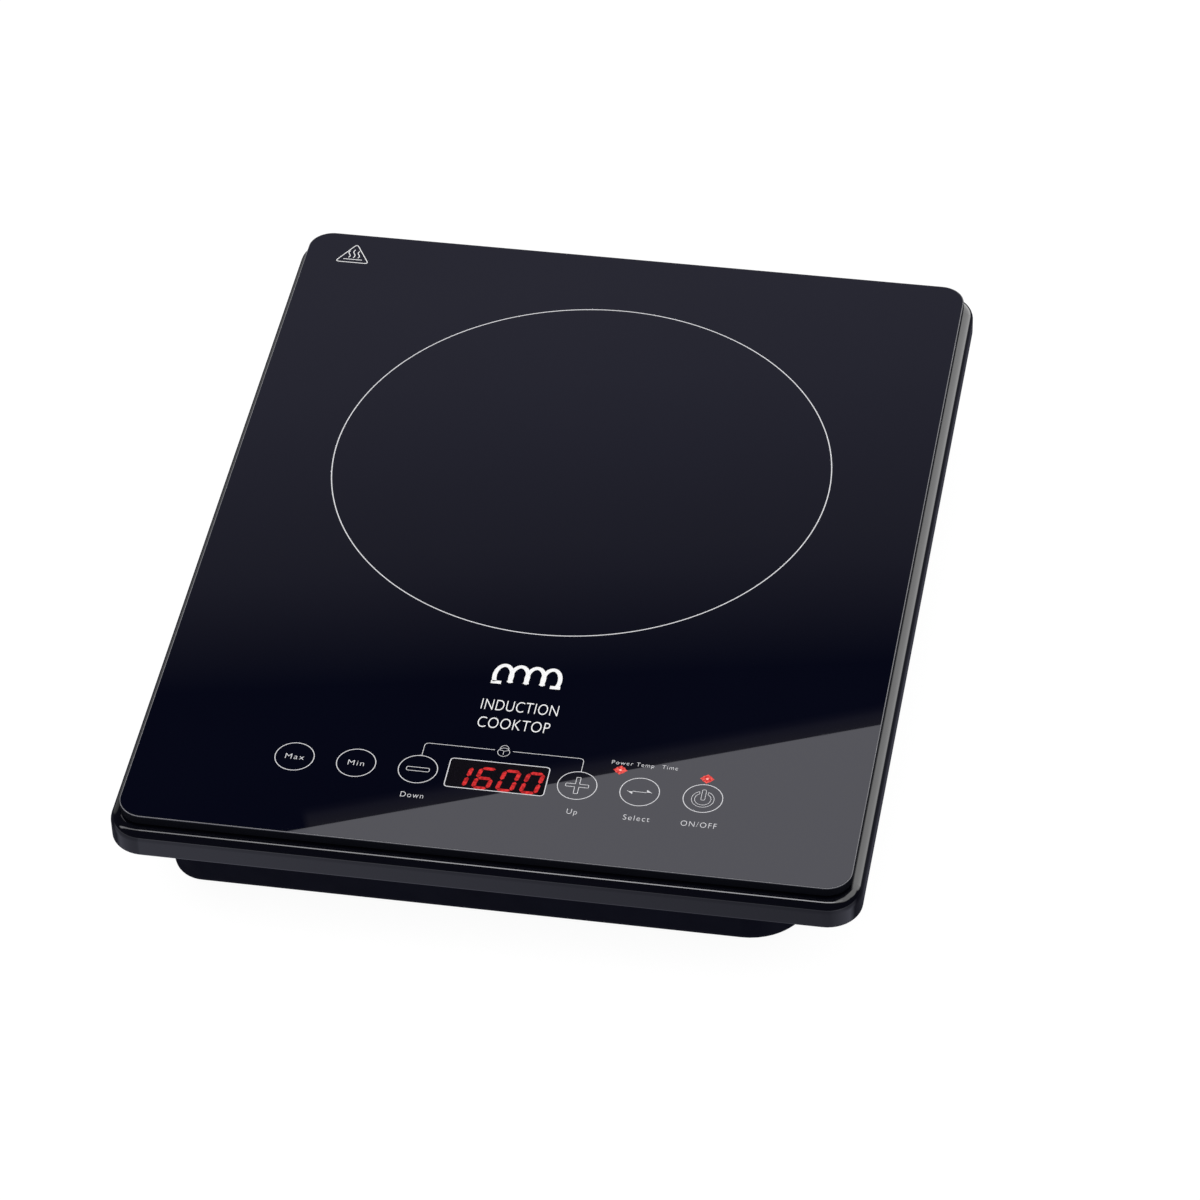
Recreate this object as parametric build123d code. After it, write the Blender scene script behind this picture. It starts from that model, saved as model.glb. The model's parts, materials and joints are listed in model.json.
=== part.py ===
from build123d import *
import math
import os

# Portable electric induction cooktop, in millimetres.
# +X is right, +Y is back, +Z is up. The origin is on the table, under the middle of the top.

# ---- Glass and the frame that carries it ----
GLASS_W = 280.0
GLASS_D = 359.0
GLASS_T = 4.0
GLASS_R = 10.0
GLASS_TOP = 53.0
GLASS_LOW = GLASS_TOP - GLASS_T
GLASS_BEVEL = 0.4
SEAL_W = 9.0
SEAL_MARGIN = 2.0

FRAME_W = 288.0
FRAME_D = 367.0
FRAME_R = 13.5
FRAME_ROUND = 4.5
FRAME_WALL = 2.5
FRAME_LOW = 36.0
DECK_TOP = 47.9
DECK_LOW = 46.2
DECK_OPEN_W = 248.0
DECK_OPEN_FRONT = -112.0
DECK_OPEN_BACK = 163.0
DECK_OPEN_R = 8.0
FRAME_EDGE = 1.0

# ---- Lower case ----
CASE_X = -2.35
CASE_W = 246.3
CASE_D = 327.0
CASE_LEFT_R = 12.0
CASE_RIGHT_R = 24.0
CASE_LOW = 4.0
CASE_WALL = 2.5
CASE_DRAFT = 8.0
CASE_ROUND = 4.0
FLOOR_TOP = CASE_LOW + CASE_WALL
FLANGE_GAP = 0.3
FLANGE_TOP = FRAME_LOW + CASE_WALL

# ---- Air slots in the lower case ----
VENT_W = 3.0
VENT_PITCH = 6.0
VENT_ROWS = 11
INTAKE_R = 34.0
OUTLET_XY = (-67.0, -130.0)
OUTLET_L = 44.0
WALL_VENT_L = 18.0
WALL_VENT_Z = 22.0
WALL_VENT_PITCH = 7.0
BACK_VENTS = 22
BACK_VENT_XY = (-100.0, 165.0)
LEFT_VENTS = 12
LEFT_VENT_XY = (-126.0, -128.0)

# ---- Fasteners ----
CASE_SCREW_XY = [(x, y) for x in (-134.8, 134.8) for y in (-110.0, 0.0, 110.0)]
CASE_SCREW_XY += [(x, y) for x in (-70.0, 70.0) for y in (-174.3, 174.3)]
BIG_SHANK = 1.45
BIG_PILOT = 1.5
BIG_CLEAR = 1.8
BIG_HEAD_R = 3.0
BIG_HEAD_H = 2.2
BIG_LENGTH = 8.5
BOSS_R = 4.0
SMALL_SHANK = 1.2
SMALL_PILOT = 1.25
SMALL_CLEAR = 1.5
SMALL_HEAD_R = 2.5
SMALL_HEAD_H = 1.6
SMALL_LENGTH = 5.6
SMALL_BOSS_R = 3.2
FLOOR_BOSS_R = 3.4

# ---- Feet ----
FOOT_XY = [(x, y) for x in (-100.0, 100.0) for y in (-145.0, 145.0)]
FOOT_R = 11.0
STEM_R = 2.95
STEM_HOLE_R = 3.0
BARB_R = 4.0
BARB_H = 1.6
FOOT_TAPER = 12.0
FOOT_DIMPLE_R = 4.5
FOOT_DIMPLE = 0.8

# ---- Coil, under the cooking ring ----
COIL_Y = 43.4
WIRE_R = 1.3
WIRE_PITCH = 2.85
COIL_IN_R = 18.0
COIL_TURNS = 24
COIL_Z = 47.0
FORMER_R = 93.0
FORMER_LOW = 43.6
FORMER_TOP = 45.6
FORMER_BORE = 12.0
RIM_W = 2.0
RIM_TOP = 48.4
FORMER_HOLE_R = 4.0
FORMER_HOLE_RADII = (34.0, 50.0, 66.0)
RIB_W = 1.4
RIB_H = 2.5
RIB_GAP = 0.2
INNER_LEAD_SLOT = ((14.5, 21.5), (-14.0, -1.5))
OUTER_LEAD_SLOT = ((85.0, 95.0), (3.0, 16.0))
MICA_R = 92.0
MICA_BORE = 8.0
FERRITE_COUNT = 8
FERRITE_L = 58.0
FERRITE_W = 13.0
FERRITE_H = 5.0
FERRITE_MID_R = 56.0
POST_R = 5.5
POST_RADIUS = 80.0
POST_XY = [(dx * POST_RADIUS, COIL_Y + dy * POST_RADIUS) for dx, dy in ((1, 0), (0, 1), (-1, 0), (0, -1))]
POST_TOP = 36.6
PIN_R = 2.0
PIN_TOP = 44.6
PIN_HOLE_R = 2.3
SHIELD_T = 0.8
SHIELD_W = 196.0
SHIELD_D = 190.0
SHIELD_R = 30.0
SHIELD_BORE = 24.0
SHIELD_SLOT = (40.0, 8.0)
SHIELD_SLOT_RADIUS = 60.0
SPRING_WIRE = 0.4
SPRING_R = 3.6
SPRING_TURNS = 4
SENSOR_CAP_R = 6.5
SENSOR_CAP_LOW = RIM_TOP - 1.2
SENSOR_BEAD_R = 2.2
SENSOR_BEAD_LOW = FORMER_LOW - 1.0

# ---- Fan, flat on the floor at the back left ----
FAN_X = -66.0
FAN_Y = 96.0
FAN_SIZE = 80.0
FAN_LOW = 9.0
FAN_TOP = 29.0
FAN_BORE = 38.0
FAN_HOLE = 35.75
FAN_HOLE_XY = [(dx, dy) for dx in (-FAN_HOLE, FAN_HOLE) for dy in (-FAN_HOLE, FAN_HOLE)]
STRUT_W = 3.2
STRUT_TURN = 20.0
HUB_PLATE_LOW = 26.5
HUB_PLATE_R = 15.5
HUB_R = 14.8
HUB_LOW = 10.4
HUB_TOP = 26.0
HUB_FACE = 1.6
MAGNET_R = 13.0
MAGNET_IN_R = 11.2
MAGNET_Z = (13.5, 25.5)
STATOR_R = 10.5
STATOR_Z = (17.0, 23.0)
WINDING_Z = (16.0, 24.0)
TUBE_R = 3.5
TUBE_LOW = 13.4
BEARING_R = 2.5
BEARING_Z = (14.0, 25.0)
BEARING_BORE = 1.55
SHAFT_R = 1.5
SHAFT_TOP = 25.8
BLADE_TIP_R = 36.8
BLADE_COUNT = 7
BLADE_MID = 18.4
FAN_SHANK = 1.9
FAN_PILOT = 1.95
FAN_CLEAR = 2.2
FAN_SCREW_L = 23.0
FAN_HEAD_R = 3.6
FAN_HEAD_H = 2.2

# ---- Main board ----
BOARD_T = 1.6
MAIN_LOW = 16.0
MAIN_TOP = MAIN_LOW + BOARD_T
MAIN_X = (-108.0, 106.0)
MAIN_Y = (-146.0, -50.0)
MAIN_SCREW_XY = [(-102, -130), (-102, -56), (-28, -140), (100, -130), (100, -54), (30, -54)]
SINK_X = (-96.0, -38.0)
SINK_Y = (-136.0, -64.0)
SINK_Z = (19.2, 37.4)
SINK_SPINE = 4.0
SINK_FINS = 7
FIN_T = 1.4
PAD_T = 0.3
IGBT_Y = -80.0
BRIDGE_Y = -112.0
DEVICE_SCREW_Z = 32.0
DEVICE_Z = (21.5, 37.0)
DEVICE_T = 4.8
IGBT_W = 15.6
BRIDGE_W = 28.0

# ---- Parts on the main board: places, spans and top heights ----
BUS_CAP = ((-24.0, -6.0), (-114.0, -76.0), (MAIN_TOP, 41.0))
RESONANT_CAP = ((0.0, 14.0), (-112.0, -80.0), (MAIN_TOP, 39.0))
LINE_CAP = ((66.0, 92.0), (-92.0, -82.0), (MAIN_TOP, 36.0))
CHOKE_XY = (44.0, -92.0)
CHOKE_R = 15.0
CHOKE_BORE = 8.0
CHOKE_Z = (20.0, 31.0)
CHOKE_WIRE = 0.7
CHOKE_TURNS = 18
CHOKE_GAP = 40.0
CRADLE_R = 12.5
CRADLE_TOP = 18.2
CRADLE_PIN_R = 5.8
CAN_XY = [(22.0, -132.0), (36.0, -132.0), (50.0, -132.0)]
CAN_R = 5.0
CAN_TOP = 33.0
SUPPLY_XY = (70.0, -131.0)
VARISTOR_XYZ = (94.0, -114.0, 26.5)
VARISTOR_R = 7.0
VARISTOR_T = 4.4
VARISTOR_PITCH = 6.0
FUSE_X = 96.0
FUSE_Z = 25.0
FUSE_CAP_Y = (-99.5, -84.5)
FUSE_R = 2.3
FUSE_CAP_R = 2.6
CHIP_XY = [(-2.0, -130.0), (80.0, -66.0)]
CHIP_HALF = (10.0, 3.3)
CHIP_Z = (18.4, 21.8)
CHIP_LEGS = 8
LEG_PITCH = 2.5
RESISTOR_X = (68.0, 74.0, 80.0)
RESISTOR_Y = -106.0
RESISTOR_Z = 20.6
RESISTOR_R = 1.9
RESISTOR_L = 10.0
RESISTOR_REACH = 7.0
LEG_R = 0.4
BUZZER_XY = (-20.0, -128.0)
BUZZER_R = 6.0
BUZZER_TOP = 26.5
CURRENT_BOX = ((44.0, 58.0), (-70.0, -57.0), (MAIN_TOP, 32.0))
CURRENT_HOLE_Z = 25.5
FAN_HEADER_XY = (-9.0, -54.0)
SENSOR_HEADER_XY = (16.0, -56.0)
RIBBON_XY = (16.0, -122.0)
HEADER_TOP = 24.5
HEADER_SEAT = 20.0
COIL_TERMINALS = [(-20.0, -58.0), (2.0, -64.0)]
TERMINAL_TOP = 26.0
LUG_T = 0.8
CRIMP_Z = TERMINAL_TOP + LUG_T + 0.9
MAINS_TABS = [(70.0, -54.0), (86.0, -54.0)]
TAB_HALF = (3.2, 0.4)
TAB_TOP = 27.0

# ---- Touch panel under the front of the glass ----
PANEL_LOW = 40.0
PANEL_TOP = PANEL_LOW + BOARD_T
PANEL_W = 192.0
PANEL_D = 40.0
PANEL_Y = -139.0
PANEL_SCREW_XY = [(-90, -155), (-26, -155), (26, -155), (90, -155), (-90, -123), (90, -123)]
KEY_X = [-79.0, -55.0, -31.0, 30.5, 54.5, 78.7]
KEY_Y = -138.9
KEY_HOLE_R = 7.4
KEY_SPRING_R = 4.6
KEY_WIRE = 0.35
KEY_TURNS = 5
LAMP_XY = [(45.3, -128.2), (54.5, -128.2), (63.7, -128.2), (78.7, -128.2)]
LAMP_R = 1.5
LAMP_HOLE_R = 2.4
LAMP_TOP = 47.5
DISPLAY_XY = (-0.4, -138.7)
DISPLAY_W = 40.0
DISPLAY_D = 19.0
DISPLAY_TOP = 48.6
TOUCH_CHIP = ((-50.0, -38.0), (-144.0, -134.0))
TOUCH_LEGS = 9
TOUCH_PITCH = 1.2
RIBBON_W = 7.0
RIBBON_T = 0.8

# ---- Cord inlet and terminal block, back right ----
INLET_X = 80.0
INLET_Z = 18.0
INLET_FACE = 167.5
INLET_INNER = 161.0
GLAND_R = 6.0
GLAND_BORE = 3.7
GLAND_COLLAR_R = 8.5
GLAND_COLLAR = 3.0
GLAND_NUT_R = 7.5
GLAND_NUT = 2.5
INLET_BOSS_HALF = 11.0
INLET_BOSS_Z = (9.0, 28.0)
TERMINAL_XY = (80.0, 130.0)
TERMINAL_LOW = 12.0
TERMINAL_SCREW_DX = 16.0
TERMINAL_HALF = (12.0, 9.0)
TERMINAL_H = 15.0
TERMINAL_EAR = 3.0
CLAMP_DX = 6.0
CLAMP_R = 2.3
CLAMP_Z = (20.0, 25.5)
WIRE_ENTRY_R = 2.6
WIRE_ENTRY_Z = TERMINAL_LOW + 6.0

# ---- Inner wires ----
MAINS_WIRE_R = 1.3
SLEEVE_HALF = (4.0, 1.6)
SLEEVE_Z = (19.5, 31.0)
SIGNAL_WIRE_R = 0.55

# ---- Air duct from the fan to the heat sink ----
DUCT_X = (-110.0, -26.0)
DUCT_Y = (-44.0, 34.0)
DUCT_TOP = 34.5
DUCT_WALL = 1.6
DUCT_TAB_XY = [(-114.5, -30.0), (-114.5, 20.0), (-21.5, -5.0)]
DUCT_TAB_Z = (10.0, 12.0)
DUCT_TAB_R = 4.0
DUCT_ROUND = 6.0

# ---- Cutters ----
OVER = 1.0
THROUGH = 60.0

UP = (Align.CENTER, Align.CENTER, Align.MIN)


def rod(x, y, radius, low, high):
    """Upright cylinder."""
    return Pos(x, y, low) * Cylinder(radius, high - low, align=UP)


def hole(x, y, radius):
    """Upright cutter that passes right through the object."""
    return rod(x, y, radius, 0, THROUGH)


def rod_along_x(x, y, z, radius, length):
    """Cylinder along X, centred on a point."""
    return Pos(x, y, z) * Rot(0, 90, 0) * Cylinder(radius, length)


def rod_along_y(x, y, z, radius, length):
    """Cylinder along Y, centred on a point."""
    return Pos(x, y, z) * Rot(90, 0, 0) * Cylinder(radius, length)


def block(x_span, y_span, z_span):
    """Square-edged box between three pairs of limits."""
    size = [span[1] - span[0] for span in (x_span, y_span, z_span)]
    middle = [(span[0] + span[1]) / 2 for span in (x_span, y_span, z_span)]
    return Pos(*middle) * Box(*size)


def slab(width, depth, radius, low, high, x=0.0, y=0.0):
    """Upright slab with rounded corners in plan."""
    return Pos(x, y, low) * extrude(RectangleRounded(width, depth, radius), high - low)


def soft_box(x_span, y_span, z_span, radius):
    """Box with every edge but the bottom ones rounded."""
    shape = block(x_span, y_span, z_span)
    edges = [edge for edge in shape.edges() if edge.center().Z > z_span[0] + 0.01]
    return fillet(edges, radius)


def screw(x, y, seat, length, shank_r, head_r, head_h, up=True):
    """Pan-head screw with a cross recess. Its head sits on the height `seat`."""
    shape = rod(0, 0, head_r, 0, head_h)
    shape = fillet(shape.edges().sort_by(Axis.Z)[-1], head_h * 0.45)
    shape += rod(0, 0, shank_r, -length, 0)
    for turn in (0, 90):
        shape -= Pos(0, 0, head_h - 0.5) * Rot(0, 0, turn) * Box(head_r * 1.2, 0.6, 1.2)
    if not up:
        shape = Rot(180, 0, 0) * shape
    return Pos(x, y, seat) * shape


def small_screw(x, y, seat, up=True):
    """The short screw that fixes boards, the duct and the terminal block."""
    return screw(x, y, seat, SMALL_LENGTH, SMALL_SHANK, SMALL_HEAD_R, SMALL_HEAD_H, up)


def boss(x, y, radius, pilot_r, low, high, pilot_low):
    """Screw boss and the pilot hole to cut from it."""
    return rod(x, y, radius, low, high), rod(x, y, pilot_r, pilot_low, high + 0.1)


def wire_run(points, radius):
    """Round wire along straight runs joined by tangent arcs."""
    stops = [Vector(*point) for point in points]
    here = stops[0]
    pieces = []
    for before, corner, after in zip(stops, stops[1:], stops[2:]):
        reach = 0.45 * min((corner - before).length, (after - corner).length)
        enter = corner + (before - corner).normalized() * reach
        leave = corner + (after - corner).normalized() * reach
        pieces.append(Line(here, enter))
        pieces.append(TangentArc(enter, leave, tangent=corner - before))
        here = leave
    path = Wire(pieces + [Line(here, stops[-1])])
    start = Plane(origin=path @ 0, z_dir=path % 0)
    return sweep(start * Circle(radius), path=path)


def coil_spring(x, y, low, high, mean_r, wire_r, turns):
    """Upright helical spring that fills the height from low to high."""
    height = high - low - 2 * wire_r
    path = Helix(height / turns, height, mean_r)
    start = Plane(origin=path @ 0, z_dir=path % 0)
    return Pos(x, y, low + wire_r) * sweep(start * Circle(wire_r), path=path, is_frenet=True)


# ---- Outer shell ----

def make_glass():
    """Toughened glass plate with ground upper and lower edges."""
    plate = slab(GLASS_W, GLASS_D, GLASS_R, GLASS_LOW, GLASS_TOP)
    plate = fillet(plate.faces().sort_by(Axis.Z)[-1].edges(), GLASS_BEVEL)
    return chamfer(plate.faces().sort_by(Axis.Z)[0].edges(), GLASS_BEVEL / 2)


def make_seal():
    """Flat silicone bead that glues the glass to the deck."""
    width = GLASS_W - 2 * SEAL_MARGIN
    depth = GLASS_D - 2 * SEAL_MARGIN
    bead = slab(width, depth, GLASS_R - SEAL_MARGIN, DECK_TOP, GLASS_LOW)
    inner = slab(width - 2 * SEAL_W, depth - 2 * SEAL_W, 4.0, DECK_TOP, GLASS_LOW)
    return bead - inner


def deck_windows():
    """Openings in the deck's front strip for the display, the keys and the lamps."""
    low, high = DECK_LOW - OVER, DECK_TOP + OVER
    cuts = slab(DISPLAY_W + 1, DISPLAY_D + 1, 1.0, low, high, *DISPLAY_XY)
    for x in KEY_X:
        cuts += rod(x, KEY_Y, KEY_HOLE_R, low, high)
    for x, y in LAMP_XY:
        cuts += rod(x, y, LAMP_HOLE_R, low, high)
    return cuts


def make_frame():
    """Gloss plastic frame: outer wall, deck under the glass and screw bosses."""
    shell = slab(FRAME_W, FRAME_D, FRAME_R, FRAME_LOW, DECK_TOP)
    shell = fillet(shell.faces().sort_by(Axis.Z)[-1].edges(), FRAME_ROUND)
    shell = fillet(shell.faces().sort_by(Axis.Z)[0].edges(), FRAME_EDGE)
    inner_w = FRAME_W - 2 * FRAME_WALL
    inner_d = FRAME_D - 2 * FRAME_WALL
    shell -= slab(inner_w, inner_d, FRAME_R - FRAME_WALL, FRAME_LOW - OVER, DECK_LOW)
    open_d = DECK_OPEN_BACK - DECK_OPEN_FRONT
    open_y = (DECK_OPEN_BACK + DECK_OPEN_FRONT) / 2
    shell -= slab(DECK_OPEN_W, open_d, DECK_OPEN_R, DECK_LOW - OVER, DECK_TOP + OVER, 0, open_y)
    shell -= deck_windows()
    bosses = []
    for x, y in CASE_SCREW_XY:
        bosses.append(boss(x, y, BOSS_R, BIG_PILOT, FLANGE_TOP, DECK_LOW, FLANGE_TOP - OVER))
    for x, y in PANEL_SCREW_XY:
        bosses.append(boss(x, y, SMALL_BOSS_R, SMALL_PILOT, PANEL_TOP, DECK_LOW, PANEL_TOP - OVER))
    for solid, _ in bosses:
        shell += solid
    for _, pilot in bosses:
        shell -= pilot & block((-FRAME_W, FRAME_W), (-FRAME_D, FRAME_D), (0, DECK_LOW))
    return shell


def drafted_tub(inset, low, high):
    """Solid tub with outward-leaning walls and rounder right corners, drawn in by `inset`."""
    grow = (low - CASE_LOW) * math.tan(math.radians(CASE_DRAFT)) - inset
    outline = Rectangle(CASE_W + 2 * grow, CASE_D + 2 * grow)
    outline = fillet(outline.vertices().group_by(Axis.X)[0], CASE_LEFT_R + grow)
    outline = fillet(outline.vertices().group_by(Axis.X)[-1], CASE_RIGHT_R + grow)
    return Pos(CASE_X, 0, low) * extrude(outline, high - low, taper=-CASE_DRAFT)


def case_shell():
    """Drafted tub with a flange that closes the underside of the frame."""
    tub = drafted_tub(0, CASE_LOW, FRAME_LOW)
    tub = fillet(tub.faces().sort_by(Axis.Z)[0].edges(), CASE_ROUND)
    gap = 2 * (FRAME_WALL + FLANGE_GAP)
    flange = slab(FRAME_W - gap, FRAME_D - gap, FRAME_R - gap / 2, FRAME_LOW, FLANGE_TOP)
    inside = drafted_tub(CASE_WALL, FLOOR_TOP, FLANGE_TOP + OVER)
    return tub + flange - inside


def grille_slots():
    """Intake slots under the fan and outlet slots under the heat sink."""
    cuts = []
    for row in range(VENT_ROWS):
        offset = (row - (VENT_ROWS - 1) / 2) * VENT_PITCH
        length = 2 * math.sqrt(INTAKE_R ** 2 - offset ** 2)
        cuts.append(Pos(FAN_X, FAN_Y + offset, 0) * extrude(SlotOverall(length, VENT_W), FLOOR_TOP + OVER))
        outlet = extrude(SlotOverall(OUTLET_L, VENT_W), FLOOR_TOP + OVER)
        cuts.append(Pos(OUTLET_XY[0], OUTLET_XY[1] + row * VENT_PITCH, 0) * outlet)
    return cuts


def wall_slots():
    """Upright outlet slots in the back wall and the left wall."""
    cuts = []
    slot = extrude(SlotOverall(WALL_VENT_L, VENT_W), 12, both=True)
    back_slot = Rot(90, 0, 0) * Rot(0, 0, 90) * slot
    for column in range(BACK_VENTS):
        x = BACK_VENT_XY[0] + column * WALL_VENT_PITCH
        cuts.append(Pos(x, BACK_VENT_XY[1], WALL_VENT_Z) * back_slot)
    left_slot = Rot(0, 90, 0) * slot
    for column in range(LEFT_VENTS):
        y = LEFT_VENT_XY[1] + column * WALL_VENT_PITCH
        cuts.append(Pos(LEFT_VENT_XY[0], y, WALL_VENT_Z) * left_slot)
    return cuts


def case_bosses():
    """Every boss that stands on the floor, as (solid, pilot) pairs."""
    root = FLOOR_TOP - OVER
    pairs = []
    for x, y in MAIN_SCREW_XY:
        pairs.append(boss(x, y, BOSS_R, SMALL_PILOT, root, MAIN_LOW, MAIN_LOW - 6))
    for dx, dy in FAN_HOLE_XY:
        pairs.append(boss(FAN_X + dx, FAN_Y + dy, 4.2, FAN_PILOT, root, FAN_LOW, CASE_LOW + 1))
    for x, y in DUCT_TAB_XY:
        pairs.append(boss(x, y, FLOOR_BOSS_R, SMALL_PILOT, root, DUCT_TAB_Z[0], DUCT_TAB_Z[0] - 4.5))
    for dx in (-TERMINAL_SCREW_DX, TERMINAL_SCREW_DX):
        x, y = TERMINAL_XY[0] + dx, TERMINAL_XY[1]
        pairs.append(boss(x, y, FLOOR_BOSS_R, SMALL_PILOT, root, TERMINAL_LOW, TERMINAL_LOW - 5))
    return pairs


def coil_posts():
    """Four posts that carry the shield, the springs and the coil former."""
    posts = []
    for x, y in POST_XY:
        posts.append(rod(x, y, POST_R, FLOOR_TOP - OVER, POST_TOP))
        posts.append(rod(x, y, PIN_R, POST_TOP - OVER, PIN_TOP))
    return posts


def make_case():
    """Lower case with vents, bosses, coil posts, foot holes and the cord inlet boss."""
    shell = case_shell()
    inlet_x = (INLET_X - INLET_BOSS_HALF, INLET_X + INLET_BOSS_HALF)
    shell += block(inlet_x, (INLET_INNER, INLET_FACE), INLET_BOSS_Z)
    shell += coil_posts()
    pairs = case_bosses()
    shell += [solid for solid, _ in pairs]
    cuts = [pilot for _, pilot in pairs]
    cuts += grille_slots() + wall_slots()
    cuts += [rod(x, y, STEM_HOLE_R, 0, FLOOR_TOP + OVER) for x, y in FOOT_XY]
    cuts += [rod(x, y, BIG_CLEAR, FRAME_LOW - OVER, FLANGE_TOP + OVER) for x, y in CASE_SCREW_XY]
    cuts.append(rod_along_y(INLET_X, INLET_FACE, INLET_Z, GLAND_R + 0.05, 24))
    return shell - cuts


def make_feet():
    """Push-in rubber feet with a barbed stem."""
    feet = []
    for x, y in FOOT_XY:
        pad = Pos(x, y, 0) * extrude(Circle(FOOT_R - 1.0), CASE_LOW, taper=-FOOT_TAPER)
        pad = fillet(pad.edges().sort_by(Axis.Z)[0], 0.6)
        pad -= rod(x, y, FOOT_DIMPLE_R, 0, FOOT_DIMPLE)
        stem = rod(x, y, STEM_R, CASE_LOW, FLOOR_TOP)
        barb = Pos(x, y, FLOOR_TOP) * Cone(BARB_R, STEM_R * 0.7, BARB_H, align=UP)
        feet.append(pad + stem + barb)
    return feet


def make_case_screws():
    """Screws from below that join the lower case to the frame."""
    screws = []
    for x, y in CASE_SCREW_XY:
        screws.append(screw(x, y, FRAME_LOW, BIG_LENGTH, BIG_SHANK, BIG_HEAD_R, BIG_HEAD_H, up=False))
    return screws


def gland_ring(radius, low, high):
    """Disc on the inlet's axis, between two places along Y."""
    return rod_along_y(INLET_X, (low + high) / 2, INLET_Z, radius, high - low)


def make_gland():
    """Round inlet gland for the mains cord: collar, sleeve and retaining nut."""
    collar = gland_ring(GLAND_COLLAR_R, INLET_FACE, INLET_FACE + GLAND_COLLAR)
    collar = fillet(collar.edges().sort_by(Axis.Y)[-1], 0.8)
    gland = collar + gland_ring(GLAND_R, INLET_INNER, INLET_FACE)
    gland += gland_ring(GLAND_NUT_R, INLET_INNER - GLAND_NUT, INLET_INNER)
    return gland - gland_ring(GLAND_BORE, INLET_INNER - 5, INLET_FACE + 5)


# ---- Coil pack ----

def on_coil(shape):
    """The shape moved onto the coil's upright axis."""
    return Pos(0, COIL_Y, 0) * shape


def make_former():
    """Plastic disc with two rims above and ferrite ribs below."""
    disc = rod(0, 0, FORMER_R, FORMER_LOW, FORMER_TOP)
    rim = rod(0, 0, FORMER_R, FORMER_TOP, RIM_TOP) - rod(0, 0, FORMER_R - RIM_W, FORMER_TOP, RIM_TOP)
    disc += rim + rod(0, 0, FORMER_BORE + RIM_W, FORMER_TOP, RIM_TOP)
    disc -= hole(0, 0, FORMER_BORE)
    rib = Box(FERRITE_L, RIB_W, RIB_H, align=(Align.CENTER, Align.CENTER, Align.MAX))
    rib_offset = (FERRITE_W + RIB_W) / 2 + RIB_GAP
    for step in range(FERRITE_COUNT):
        turn = Rot(0, 0, (step + 0.5) * 360 / FERRITE_COUNT)
        for side in (-1, 1):
            disc += turn * Pos(FERRITE_MID_R, side * rib_offset, FORMER_LOW) * rib
    for quarter in range(4):
        turn = Rot(0, 0, 90 * quarter)
        disc -= turn * rod(POST_RADIUS, 0, PIN_HOLE_R, 0, PIN_TOP + 0.3)
        for radius in FORMER_HOLE_RADII:
            disc -= turn * rod(radius, 0, FORMER_HOLE_R, 0, FORMER_TOP)
    disc -= block(*INNER_LEAD_SLOT, (0, RIM_TOP))
    disc -= block(*OUTER_LEAD_SLOT, (FORMER_TOP, RIM_TOP))
    return on_coil(disc)


def make_coil():
    """Flat spiral of stranded wire, drawn as half circles about two centres."""
    arcs = []
    for turn in range(COIL_TURNS):
        radius = COIL_IN_R + turn * WIRE_PITCH
        arcs.append(CenterArc((0, 0, 0), radius, 0, 180))
        arcs.append(CenterArc((WIRE_PITCH / 2, 0, 0), radius + WIRE_PITCH / 2, 180, 180))
    path = Wire(arcs)
    start = Plane(origin=path @ 0, z_dir=path % 0)
    winding = sweep(start * Circle(WIRE_R), path=path)
    return Pos(0, COIL_Y, COIL_Z) * winding


def make_ferrites():
    """Ferrite bars glued under the former."""
    half = FERRITE_L / 2
    bar = soft_box((FERRITE_MID_R - half, FERRITE_MID_R + half), (-FERRITE_W / 2, FERRITE_W / 2),
                   (FORMER_LOW - FERRITE_H, FORMER_LOW), 0.5)
    return [on_coil(Rot(0, 0, (step + 0.5) * 360 / FERRITE_COUNT) * bar) for step in range(FERRITE_COUNT)]


def make_mica():
    """Thin mica disc between the coil and the glass."""
    return on_coil(rod(0, 0, MICA_R, RIM_TOP, GLASS_LOW) - hole(0, 0, MICA_BORE))


def make_shield():
    """Aluminium screen under the ferrites, slotted between the posts."""
    plate = slab(SHIELD_W, SHIELD_D, SHIELD_R, POST_TOP, POST_TOP + SHIELD_T)
    plate -= hole(0, 0, SHIELD_BORE)
    slot = extrude(SlotOverall(*SHIELD_SLOT), 2)
    for quarter in range(4):
        plate -= Rot(0, 0, 90 * quarter) * hole(POST_RADIUS, 0, PIN_HOLE_R)
        plate -= Rot(0, 0, 90 * quarter + 45) * Pos(SHIELD_SLOT_RADIUS, 0, POST_TOP) * slot
    return on_coil(plate)


def make_coil_springs():
    """Springs that press the former up against the glass."""
    low = POST_TOP + SHIELD_T
    return [coil_spring(x, y, low, FORMER_LOW, SPRING_R, SPRING_WIRE, SPRING_TURNS) for x, y in POST_XY]


def make_sensor_holder():
    """Silicone plug in the middle of the former that holds the temperature sensor."""
    plug = rod(0, 0, FORMER_BORE - 0.1, FORMER_LOW, RIM_TOP - 0.4)
    plug += rod(0, 0, FORMER_BORE + 2, FORMER_LOW - 1.8, FORMER_LOW)
    plug -= hole(0, 0, SENSOR_BEAD_R + 0.8)
    plug -= rod(0, 0, SENSOR_CAP_R + 0.1, SENSOR_CAP_LOW, THROUGH)
    return on_coil(plug)


def make_sensor():
    """Thermistor bead under an aluminium contact cap."""
    cap = rod(0, 0, SENSOR_CAP_R, SENSOR_CAP_LOW, GLASS_LOW)
    return on_coil(cap + rod(0, 0, SENSOR_BEAD_R, SENSOR_BEAD_LOW, SENSOR_CAP_LOW))


# ---- Fan ----

def at_fan(shape):
    """The shape moved onto the fan's axis."""
    return Pos(FAN_X, FAN_Y, 0) * shape


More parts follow.
